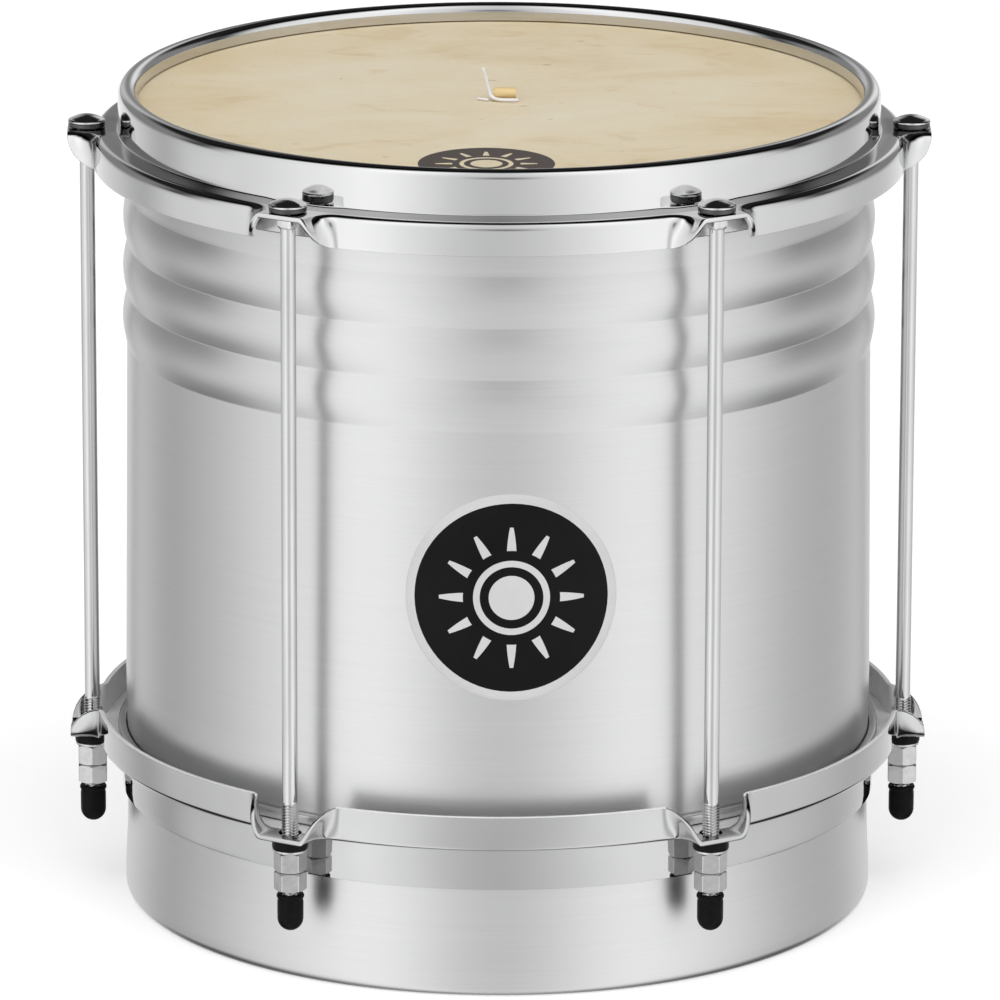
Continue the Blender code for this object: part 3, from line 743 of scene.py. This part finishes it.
# ------------------------------------------------------------------- fasteners
def make_rod(number):
    """Domed head, square neck, shank and a true helical thread, as one closed body; the band round the head's rim
    carries a painted dark reflection and shade.
    """
    sides = 32
    x, y = lug_xy(number)
    base_turn = lug_angle(number)
    rows = [(274.8, lambda a: 0.0)]

    def ring(z, r):
        rows.append((z, lambda a, r=r: r))

    crown, edge = 274.8, 273.2
    cap_r = 5.75
    for k in range(1, 9):
        t = k / 8.0
        ring(crown - (crown - edge) * t ** 2, cap_r * t)
    for r, z in arc(6.45 - 0.72, 272.46, 0.72, 76.0, 0.0, 5):
        ring(z, r)
    # painted dark reflection and shade: rows from here to the end of the head's rim band take the near-black material
    painted_band_from = len(rows) - 1
    ring(272.25, 6.40)
    ring(272.15, 6.32)
    ring(271.1, 6.32)
    for r, z in arc(6.32 - 0.3, 271.0, 0.3, 0.0, -90.0, 3):
        ring(z, r)
    painted_band_to = len(rows) - 1
    half = 2.75

    def square(a, grow=0.0):
        c, s = abs(math.cos(a - base_turn)), abs(math.sin(a - base_turn))
        h = half + grow
        return (c ** 9 + s ** 9) ** (-1.0 / 9.0) * h

    for z, grow in ((270.7, 0.0), (270.5, 0.0), (268.0, 0.0), (266.0, 0.0), (265.3, -0.10)):
        rows.append((z, lambda a, g=grow: square(a, g)))
    rows.append((264.85, lambda a: min(square(a, -0.3), 2.9)))
    ring(264.8, 2.62)
    ring(264.4, 2.58)
    for z in (240.0, 200.0, 160.0, 120.0, 90.0, 70.0, 67.4):
        ring(z, 2.58)
    pitch, depth = 1.0, 0.52
    z, low = 67.0, 23.8

    def thread(a, z, share):
        phase = ((z / pitch) - (a - base_turn) / (2.0 * math.pi)) % 1.0
        wave = min(1.0, max(0.0, 1.35 * (1.0 - abs(2.0 * phase - 1.0)) - 0.15))
        root = 2.95 - depth
        return root + depth * wave * share + (2.58 - root) * (1.0 - share)

    while z > low + 1.0:
        share = min(1.0, max(0.0, (67.0 - z) / 0.8))
        rows.append((z, lambda a, z=z, s=share: thread(a, z, s)))
        z -= pitch / 6.0
    ring(low + 0.7, 2.6)
    ring(low + 0.1, 2.15)
    ring(low, 1.9)
    rows.append((low, lambda a: 0.0))
    verts, faces, index, kinds = [], [], [], []
    for k, (z, radius) in enumerate(rows):
        if k in (0, len(rows) - 1):
            index.append([len(verts)])
            verts.append((x, y, z))
            continue
        row = []
        for i in range(sides):
            a = base_turn + 2.0 * math.pi * i / sides
            r = radius(a)
            row.append(len(verts))
            verts.append((x + r * math.cos(a), y + r * math.sin(a), z))
        index.append(row)
    for k, (one, two) in enumerate(zip(index, index[1:])):
        for i in range(sides):
            j = (i + 1) % sides
            kinds.append(1 if painted_band_from <= k < painted_band_to else 0)
            if len(one) == 1:
                faces.append((one[0], two[i], two[j]))
            elif len(two) == 1:
                faces.append((one[i], two[0], one[j]))
            else:
                faces.append((one[i], two[i], two[j], one[j]))
    obj = make_object(f"rod_{number}", verts, faces, 32.0, (ROD_STEEL, ROD_RIM_PAINTED_DARK))
    for polygon, kind in zip(obj.data.polygons, kinds):
        polygon.material_index = kind
    return obj


def make_nut(name, number, low, high):
    """Hexagon with chamfered ends, softened corners and a bore."""
    x, y = lug_xy(number)
    turn = 0.0 if number in (1, 4) else math.radians(30.0)
    flat = 4.9
    corner_cut = 5.55
    step = 60.0 / 12
    angles = []
    for k in range(6):
        corner = 60.0 * k + 30.0
        angles += [corner - 25.0 + i * step for i in range(0, 5)]
        angles += [corner - 1.6, corner, corner + 1.6]
        angles += [corner + 5.0 + i * step for i in range(0, 5)]
    angles = sorted(set(round(a % 360.0, 4) for a in angles))
    chamfer_r = 4.64
    slope = math.tan(math.radians(30.0))
    verts, faces = [], []
    per = None
    for degrees in angles:
        near = (degrees + 30.0) % 60.0 - 30.0
        out = min(flat / math.cos(math.radians(near)), corner_cut)
        drop = max(0.0, (out - chamfer_r) * slope)
        column = [
            (3.25, high - 0.5), (3.55, high - 0.05), (3.75, high), (chamfer_r, high),
            (out, high - drop), (out, 0.5 * (low + high)), (out, low + drop),
            (chamfer_r, low), (3.75, low), (3.55, low + 0.05), (3.25, low + 0.5),
        ]
        per = len(column)
        a = math.radians(degrees) + turn
        for r, z in column:
            verts.append((x + r * math.cos(a), y + r * math.sin(a), z))
    wide = len(angles)
    for i in range(wide):
        j = (i + 1) % wide
        for k in range(per):
            m = (k + 1) % per
            faces.append((i * per + k, i * per + m, j * per + m, j * per + k))
    return make_object(name, verts, faces, 24.0, (NUT_STEEL,))


def make_cap(number):
    points = [(0.0, 23.4), (3.25, 23.4), (3.25, 34.2), (3.45, 34.75), (4.05, 34.8), (4.45, 34.6), (4.7, 34.0), (4.62, 33.5)]
    points += [(4.33, 33.1), (4.26, 32.8), (4.33, 32.4), (4.42, 31.9), (4.42, 29.0), (4.4, 26.5)]
    points += arc(0.0, 26.1, 4.4, -4.0, -86.0, 9)
    points.append((0.0, 21.7))
    return revolve(f"cap_{number}", points, 36, False, 50.0, (RUBBER,), lug_xy(number))


def make_ring(name, r_in, r_out, low, high, radius, look, sides, at=(0.0, 0.0)):
    points = [(r_out, high), (r_out, low), (r_in, low), (r_in, high)]
    return revolve(name, fillet(points, radius, 3), sides, True, 40.0, (look,), at)


# ------------------------------------------------------------------------ head
def make_skin():
    top = [(0.0, SKIN_TOP)] + [(r, SKIN_TOP) for r in (2.0, 6.0, 12.0, 24.0, 40.0, 60.0, 80.0, 100.0, 112.0, 120.0, 124.0)]
    top += arc(126.3, SKIN_TOP - 1.9, 1.9, 90.0, 0.0, 8)
    top += [(128.2, 272.0), (128.2, 262.6)]
    under = [(127.6, 262.0), (127.6, 272.0)]
    under += arc(126.3, SKIN_UNDER - 1.3, 1.3, 0.0, 90.0, 6)
    under += [(r, SKIN_UNDER) for r in (120.0, 100.0, 60.0, 24.0, 6.0, 2.0)] + [(0.0, SKIN_UNDER)]
    obj = revolve("skin_head", top + [(128.0, 262.0)] + under, 240, False, 50.0, (SKIN,))
    for vert in obj.data.vertices:
        x, y, z = vert.co
        r = math.hypot(x, y) / MM
        if r < 124.0:
            calm = smooth((124.0 - r) / 30.0)
            wave = 0.10 * math.sin(0.051 * x / MM + 0.6) * math.cos(0.043 * y / MM - 0.4)
            dimple = 0.22 * math.exp(-((r / 7.0) ** 2))
            vert.co.z -= (abs(wave) * 0.5 * calm + dimple) * MM
    return obj


def rayed_disc(place, radius, bands, back, looks, name, thickness):
    """A thin disc with a centre, a ring and twelve tapering rays in a second tone."""
    share = radius / 35.6
    rings = [2.6, 5.2, 7.6, 10.6, 12.8, 16.2, 18.0, 20.0, 22.0, 24.2, 27.0, 30.0, 32.45]
    if bands:
        rings += [33.2, 34.9, 35.3, 35.6]
    else:
        rings = [r * (35.6 / 32.45) for r in rings]
    rings = [r * share for r in rings]
    rays, cols = 12, 10
    sector = 360.0 / rays
    ray_in, ray_out = rings[5], rings[9]

    def angle(col, r):
        ray, k = divmod(col, cols)
        t = min(1.0, max(0.0, (r - ray_in) / (ray_out - ray_in)))
        wide = 5.6 - 4.2 * t
        spots = [-wide, -0.5 * wide, 0.0, 0.5 * wide, wide]
        rest = [wide + (sector - 2.0 * wide) * i / 6 for i in range(1, 6)]
        return math.radians(ray * sector + (spots + rest)[k])

    total = rays * cols
    verts, faces, kinds = [place(0.0, 0.0, thickness)], [], []
    for r in rings:
        fall = 0.0
        if bands and r > 34.9 * share + 1e-6:
            fall = 0.12 if r < 35.5 * share else 0.30
        for c in range(total):
            a = angle(c, r)
            verts.append(place(r * math.cos(a), r * math.sin(a), thickness - fall))
    outer = len(verts)
    for c in range(total):
        a = angle(c, rings[-1])
        verts.append(place(rings[-1] * math.cos(a), rings[-1] * math.sin(a), back))
    hub = len(verts)
    verts.append(place(0.0, 0.0, back))
    for c in range(total):
        d = (c + 1) % total
        faces.append((0, 1 + c, 1 + d))
        kinds.append(1)
        for k in range(len(rings) - 1):
            a, b = 1 + k * total, 1 + (k + 1) * total
            faces.append((a + c, b + c, b + d, a + d))
            band = 0
            if k < 2 or k == 3:
                band = 1
            if 5 <= k < 9 and (c % cols) < 4:
                band = 1
            if bands and k >= 12:
                band = 1
            kinds.append(band)
        a = 1 + (len(rings) - 1) * total
        faces.append((a + c, outer + c, outer + d, a + d))
        kinds.append(1 if bands else 0)
        faces.append((outer + c, hub, outer + d))
        kinds.append(0)
    obj = make_object(name, verts, faces, 50.0, looks)
    for polygon, kind in zip(obj.data.polygons, kinds):
        polygon.material_index = kind
    return obj


def badge_place(across, up, out):
    z = BADGE_Z + up
    r = shell_radius(z) + out
    a = math.radians(BADGE_DEG) + across / shell_radius(z)
    return (r * math.cos(a), r * math.sin(a), z)


def print_place(across, up, out):
    return (PRINT_AT[0] + across, PRINT_AT[1] + up, SKIN_TOP + out)


def make_peg():
    """A cut length of thin dowel lying on the skin."""
    length, radius = 7.6, 2.1
    points = fillet([(0.0, 0.5 * length), (radius, 0.5 * length), (radius, -0.5 * length), (0.0, -0.5 * length)],
                    [0.0, 0.35, 0.35, 0.0], 3, False)
    obj = revolve("peg", points, 28, False, 40.0, (PEG_WOOD,))
    turn = Matrix.Rotation(0.5 * math.pi, 4, "Y")
    move = Matrix.Translation(Vector((1.9, 2.0, SKIN_TOP + radius)) * MM)
    obj.data.transform(move @ turn)
    return obj


def make_stick():
    points = [(0.0, 274.6), (2.7, 274.6), (3.0, 274.3), (3.1, 273.6)]
    points += [(3.1 + 0.03 * math.sin(0.11 * z), float(z)) for z in range(262, 176, -6)]
    points += [(3.12, 174.0), (3.2, 172.4), (3.42, 171.2), (3.55, 170.4), (3.5, 169.7), (3.3, 169.2), (3.42, 168.5), (3.2, 167.4), (3.1, 165.5)]
    points += [(3.06 - 0.0012 * (160 - z) + 0.03 * math.sin(0.13 * z), float(z)) for z in range(160, 64, -6)]
    points += [(2.93, 63.2), (2.8, 62.4), (2.4, 62.0), (0.0, 62.0)]
    return revolve("stick", points, 36, False, 45.0, (BAMBOO,))


def make_binding():
    """Close turns of thread round the top of the stick."""
    path = []
    turns = 6.4
    for i in range(int(turns * 28) + 1):
        a = 2.0 * math.pi * i / 28
        path.append((3.78 * math.cos(a), 3.78 * math.sin(a), 264.7 + 0.98 * a / (2.0 * math.pi)))
    return tube("binding", path, 0.5, 10, 3, 2.4, (THREAD,), 0.4)


def make_knot():
    """The small knot from which the stick hangs."""
    path = []
    for i in range(97):
        t = 2.0 * math.pi * i / 96
        path.append((
            0.36 * (math.sin(t) + 2.0 * math.sin(2.0 * t)),
            0.36 * (math.cos(t) - 2.0 * math.cos(2.0 * t)),
            276.3 - 0.55 * math.sin(3.0 * t),
        ))
    return tube("knot", path[:-1], 0.34, 8, 2, 2.0, (THREAD,), 0.3)


def make_threads():
    flat = SKIN_TOP + 0.6
    standing = spline([
        (6.6, -1.5, flat), (3.2, -1.6, flat), (0.0, -1.2, flat + 0.05),
        (-2.4, 0.0, flat + 0.6), (-3.5, 0.9, flat + 2.6), (-4.3, 1.3, flat + 6.0), (-5.6, 1.6, flat + 10.6),
    ], 10)
    tail = spline([(-3.9, -0.9, SKIN_TOP + 0.5), (-5.6, 0.2, SKIN_TOP + 0.48), (-7.6, 1.6, SKIN_TOP + 0.45)], 12)
    return (
        tube("thread_standing", standing, 0.56, 12, 3, 3.0, (THREAD,), 0.35),
        tube("thread_short", tail, 0.42, 10, 2, 2.4, (THREAD,), 0.35),
    )


# ---------------------------------------------------------------------- pieces
def use(obj, body, slot, *nodes):
    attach(obj, body)
    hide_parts(*nodes)


use(make_shell(), "root", "brushed_aluminium", "shell")
lower_sheet = make_hoop("lower_hoop_sheet", lower_section, -1.0, round_hole)
# painted shade: the lower hoop's outside takes the darker copy of the hoop chrome
lower_sheet.data.materials.clear()
lower_sheet.data.materials.append(CHROME_LOW_PAINTED_SHADE)
lower_sheet.data.materials.append(PLATE_INSIDE_PAINTED_LIGHT)
# painted light: the inward faces and the trough of the lower hoop take the pale half-diffuse plate
for face in lower_sheet.data.polygons:
    inward = face.normal.x * face.center.x + face.normal.y * face.center.y < -0.3 * math.hypot(face.center.x, face.center.y)
    trough = face.normal.z > 0.5 and face.center.z > 0.05
    if (inward or trough) and math.hypot(face.center.x, face.center.y) < 0.1395:
        face.material_index = 1
use(lower_sheet, "root", "chrome", "lower_hoop")
upper_sheet = make_hoop("top_hoop_sheet", upper_section, 1.0, square_hole)
upper_sheet.data.materials.append(CHROME_LEDGE_PAINTED_REFLECTION)
# painted dark reflection: the flat ledge faces of the top hoop's flange take the darker chrome copy
for face in upper_sheet.data.polygons:
    out = math.hypot(face.center.x, face.center.y)
    if face.normal.z > 0.97 and 0.1312 < out < 0.1365 and 0.2695 < face.center.z < 0.2715:
        face.material_index = len(upper_sheet.data.materials) - 1
use(upper_sheet, "head", "chrome", "top_hoop")
use(make_ring("support_ring", 129.3, 132.2, 56.3, 59.6, 0.6, RING_STEEL, 192), "root", "ring_steel", "bearing_ring")
use(make_ring("flesh_ring", 128.8, 135.6, 260.8, 268.4, 0.6, RING_STEEL, 192), "head", "ring_steel", "flesh_hoop")
use(make_skin(), "head", "natural_skin", "drum_skin")
use(rayed_disc(badge_place, BADGE_R, True, 0.0, (FILM_BLACK, FILM_SILVER), "badge_disc", 0.35),
    "root", "badge_film", "badge")
use(rayed_disc(print_place, PRINT_R, False, -0.1, (INK, SKIN), "print_disc", 0.05),
    "head", "print_ink", "skin_print")
use(make_peg(), "head", "peg_wood", "tie_peg")
standing, short = make_threads()
use(standing, "head", "thread", "tie_thread")
use(short, "head", "thread", "thread_tail")
use(make_knot(), "tie", "thread", "tie_loop")
use(make_stick(), "stick", "bamboo", "friction_stick")
use(make_binding(), "stick", "thread", "stick_binding")
for number in range(1, LUGS + 1):
    use(make_rod(number), "head", "plated_steel", f"tension_rod_{number}")
    at = lug_xy(number)
    use(make_ring(f"bush_ring_{number}", 3.25, 6.1, 50.8, 54.2, 0.3, BUSH, 40, at), "root", "black_bush", f"bush_{number}")
    use(make_ring(f"washer_ring_{number}", 3.25, 5.95, 49.8, 50.7, 0.22, NUT_STEEL, 40, at), "root", "plated_steel", f"washer_{number}")
    use(make_nut(f"nut_upper_{number}", number, 42.7, 49.7), f"nuts_{number}", "plated_steel", f"tension_nut_{number}")
    use(make_nut(f"nut_lower_{number}", number, 36.0, 42.6), f"nuts_{number}", "plated_steel", f"lock_nut_{number}")
    use(make_cap(number), f"cap_{number}", "black_rubber", f"rod_cap_{number}")


# ------------------------------------------------------------ floor, light, camera
FLOOR_GLOW = 0.46
LAMP_WATTS = 30.0


def make_floor():
    look = Look("floor")
    cloud = look.noise(look.stretch(1.2, 1.2, 1.2), 1.0, 2.0, 0.5)
    look.into("Base Color", look.ramp(cloud, (0.3, (0.780, 0.780, 0.780)), (0.7, (0.800, 0.800, 0.800))))
    look.into("Emission Color", (1.0, 1.0, 1.0, 1.0))
    look.into("Emission Strength", FLOOR_GLOW)
    look.set(Roughness=0.9)
    look.shader.inputs["Specular IOR Level"].default_value = 0.0
    side = look.nodes.new("ShaderNodeNewGeometry").outputs["Backfacing"]
    clear = look.nodes.new("ShaderNodeBsdfTransparent")
    either = look.nodes.new("ShaderNodeMixShader")
    look.tree.links.new(side, either.inputs[0])
    look.tree.links.new(look.shader.outputs[0], either.inputs[1])
    look.tree.links.new(clear.outputs[0], either.inputs[2])
    look.tree.links.new(either.outputs[0], look.nodes["Material Output"].inputs["Surface"])
    size = 9000.0
    floor = make_object(
        "floor", [(-size, -size, 0.0), (size, -size, 0.0), (size, size, 0.0), (-size, size, 0.0)],
        [(0, 1, 2, 3)], None, (look.material,),
    )
    floor.visible_glossy = False
    return floor


def make_world():
    """Soft studio: two wide lights at the front corners, dark overhead and behind.

    The part below the horizon is the floor as polished metal sees it.
    """
    world = bpy.data.worlds.new("studio")
    world.use_nodes = True
    bpy.context.scene.world = world
    tree = world.node_tree
    nodes, links = tree.nodes, tree.links
    background = nodes["Background"]

    def math_node(kind, a, b=0.0, clamp=False):
        node = nodes.new("ShaderNodeMath")
        node.operation = kind
        node.use_clamp = clamp
        for socket, value in zip(node.inputs, (a, b)):
            if hasattr(value, "is_output"):
                links.new(value, socket)
            else:
                socket.default_value = value
        return node.outputs[0]

    def ease(value, low, high, a=0.0, b=1.0):
        node = nodes.new("ShaderNodeMapRange")
        node.interpolation_type = "SMOOTHSTEP"
        links.new(value, node.inputs["Value"])
        for key, v in zip(("From Min", "From Max", "To Min", "To Max"), (low, high, a, b)):
            node.inputs[key].default_value = v
        return node.outputs["Result"]

    split = nodes.new("ShaderNodeSeparateXYZ")
    links.new(nodes.new("ShaderNodeTexCoord").outputs["Generated"], split.inputs[0])
    x, y, z = split.outputs
    height = math_node("MULTIPLY", math_node("ARCSINE", z), 180.0 / math.pi)
    bearing = math_node("MULTIPLY", math_node("ARCTAN2", x, math_node("MULTIPLY", y, -1.0)), 180.0 / math.pi)

    def panel(centre, half_width, low, high, soft, strength):
        away = math_node("ABSOLUTE", math_node("SUBTRACT", bearing, centre))
        across = ease(away, half_width + soft, half_width - soft)
        up = math_node("MULTIPLY", ease(height, low - soft, low + soft), ease(height, high + soft, high - soft))
        return math_node("MULTIPLY", math_node("MULTIPLY", across, up), strength)

    away = math_node("ABSOLUTE", bearing)
    share = nodes.new("ShaderNodeValToRGB")
    share.color_ramp.interpolation = "B_SPLINE"
    stops = (
        (0.0, 0.80), (9.0, 0.85), (20.0, 1.00), (32.0, 1.24), (46.0, 1.38), (64.0, 1.17),
        (90.0, 0.97), (106.0, 0.90), (122.0, 0.68), (138.0, 0.78), (156.0, 0.97), (180.0, 1.05),
    )
    points = share.color_ramp.elements
    while len(points) < len(stops):
        points.new(0.5)
    for point, (place, value) in zip(points, stops):
        point.position = place / 180.0
        point.color = (0.5 * value, 0.5 * value, 0.5 * value, 1.0)
    links.new(math_node("DIVIDE", away, 180.0), share.inputs["Fac"])
    level = math_node("MULTIPLY", share.outputs["Color"], 2.0)
    level = math_node("MULTIPLY", level, math_node("SUBTRACT", 1.0, panel(-121.0, 8.0, -89.0, 40.0, 8.0, 0.16)))
    level = math_node("MULTIPLY", level, math_node("ADD", 1.0, panel(-32.0, 14.0, -89.0, 60.0, 10.0, 0.07)))
    flank = math_node("MULTIPLY", ease(away, 78.0, 102.0), ease(away, 154.0, 134.0))
    edges = math_node("ADD", ease(height, -20.0, -31.0, 0.0, 0.95), ease(height, -13.0, -5.0, 0.0, 0.34))
    level = math_node("MULTIPLY", level, math_node("SUBTRACT", 1.0, math_node("MULTIPLY", flank, edges)))
    lean = math_node("ADD", y, ease(height, 25.0, 60.0, 0.0, 0.26))
    front = math_node("MULTIPLY", level, ease(lean, 0.26, -0.06))
    front = math_node("MULTIPLY", front, ease(height, 20.0, 70.0, 1.0, 1.14))
    front = math_node("MULTIPLY", front, math_node("SUBTRACT", 1.0, panel(1.0, 8.0, 4.0, 26.0, 8.0, 0.62)))
    behind = math_node("MULTIPLY", ease(y, 0.10, 0.45), ease(height, 31.0, 19.0, 0.02, 0.30))
    total = math_node("ADD", front, behind)
    for light in (panel(-165.0, 7.0, 2.0, 36.0, 6.0, 0.35), panel(165.0, 7.0, 2.0, 36.0, 6.0, 0.70)):
        total = math_node("ADD", total, light)
    side = math_node("MULTIPLY", ease(away, 50.0, 85.0), ease(height, -24.0, -52.0, 0.0, 0.55))
    ground = math_node("MULTIPLY", level, math_node("SUBTRACT", 1.0, side))
    below = ease(height, -3.0, 2.0, 1.0, 0.0)
    total = math_node("ADD", math_node("MULTIPLY", total, math_node("SUBTRACT", 1.0, below)), math_node("MULTIPLY", ground, below))
    seen = nodes.new("ShaderNodeLightPath").outputs["Is Camera Ray"]
    total = math_node("ADD", math_node("MULTIPLY", total, math_node("SUBTRACT", 1.0, seen)), seen)
    links.new(total, background.inputs["Strength"])
    background.inputs["Color"].default_value = (1.0, 1.0, 1.0, 1.0)


def make_lamp():
    """A wide soft lamp above; it lights the skin and the floor and has no mirror image."""
    data = bpy.data.lights.new("soft_lamp", "AREA")
    data.shape = "DISK"
    data.size = 2.6
    data.energy = LAMP_WATTS
    lamp = bpy.data.objects.new("soft_lamp", data)
    lamp.location = (0.0, -0.5, 2.6)
    lamp.rotation_euler = (math.radians(-11.0), 0.0, 0.0)
    lamp.visible_glossy = False
    bpy.context.scene.collection.objects.link(lamp)


def make_camera():
    pitch, yaw, roll = 0.27258, -0.00898, -0.00294
    across = Vector((math.cos(yaw), math.sin(yaw), 0.0))
    ahead = Vector((-math.sin(yaw), math.cos(yaw), 0.0))
    up = Vector((0.0, 0.0, 1.0))
    forward = ahead * math.cos(pitch) - up * math.sin(pitch)
    lift = ahead * math.sin(pitch) + up * math.cos(pitch)
    right = across * math.cos(roll) - lift * math.sin(roll)
    top = across * math.sin(roll) + lift * math.cos(roll)
    data = bpy.data.cameras.new("camera")
    data.sensor_width = 36.0
    data.sensor_fit = "HORIZONTAL"
    data.lens = 321.24
    data.clip_start, data.clip_end = 0.1, 60.0
    camera = bpy.data.objects.new("camera", data)
    bpy.context.scene.collection.objects.link(camera)
    place = Vector((-26.14, -2976.23, 969.68)) * MM
    camera.matrix_world = Matrix((
        (right.x, top.x, -forward.x, place.x),
        (right.y, top.y, -forward.y, place.y),
        (right.z, top.z, -forward.z, place.z),
        (0.0, 0.0, 0.0, 1.0),
    ))
    bpy.context.scene.camera = camera


make_floor()
make_world()
make_lamp()
make_camera()
view = bpy.context.scene.view_settings
view.view_transform = "Standard"
view.look = "None"
view.exposure = 0.0
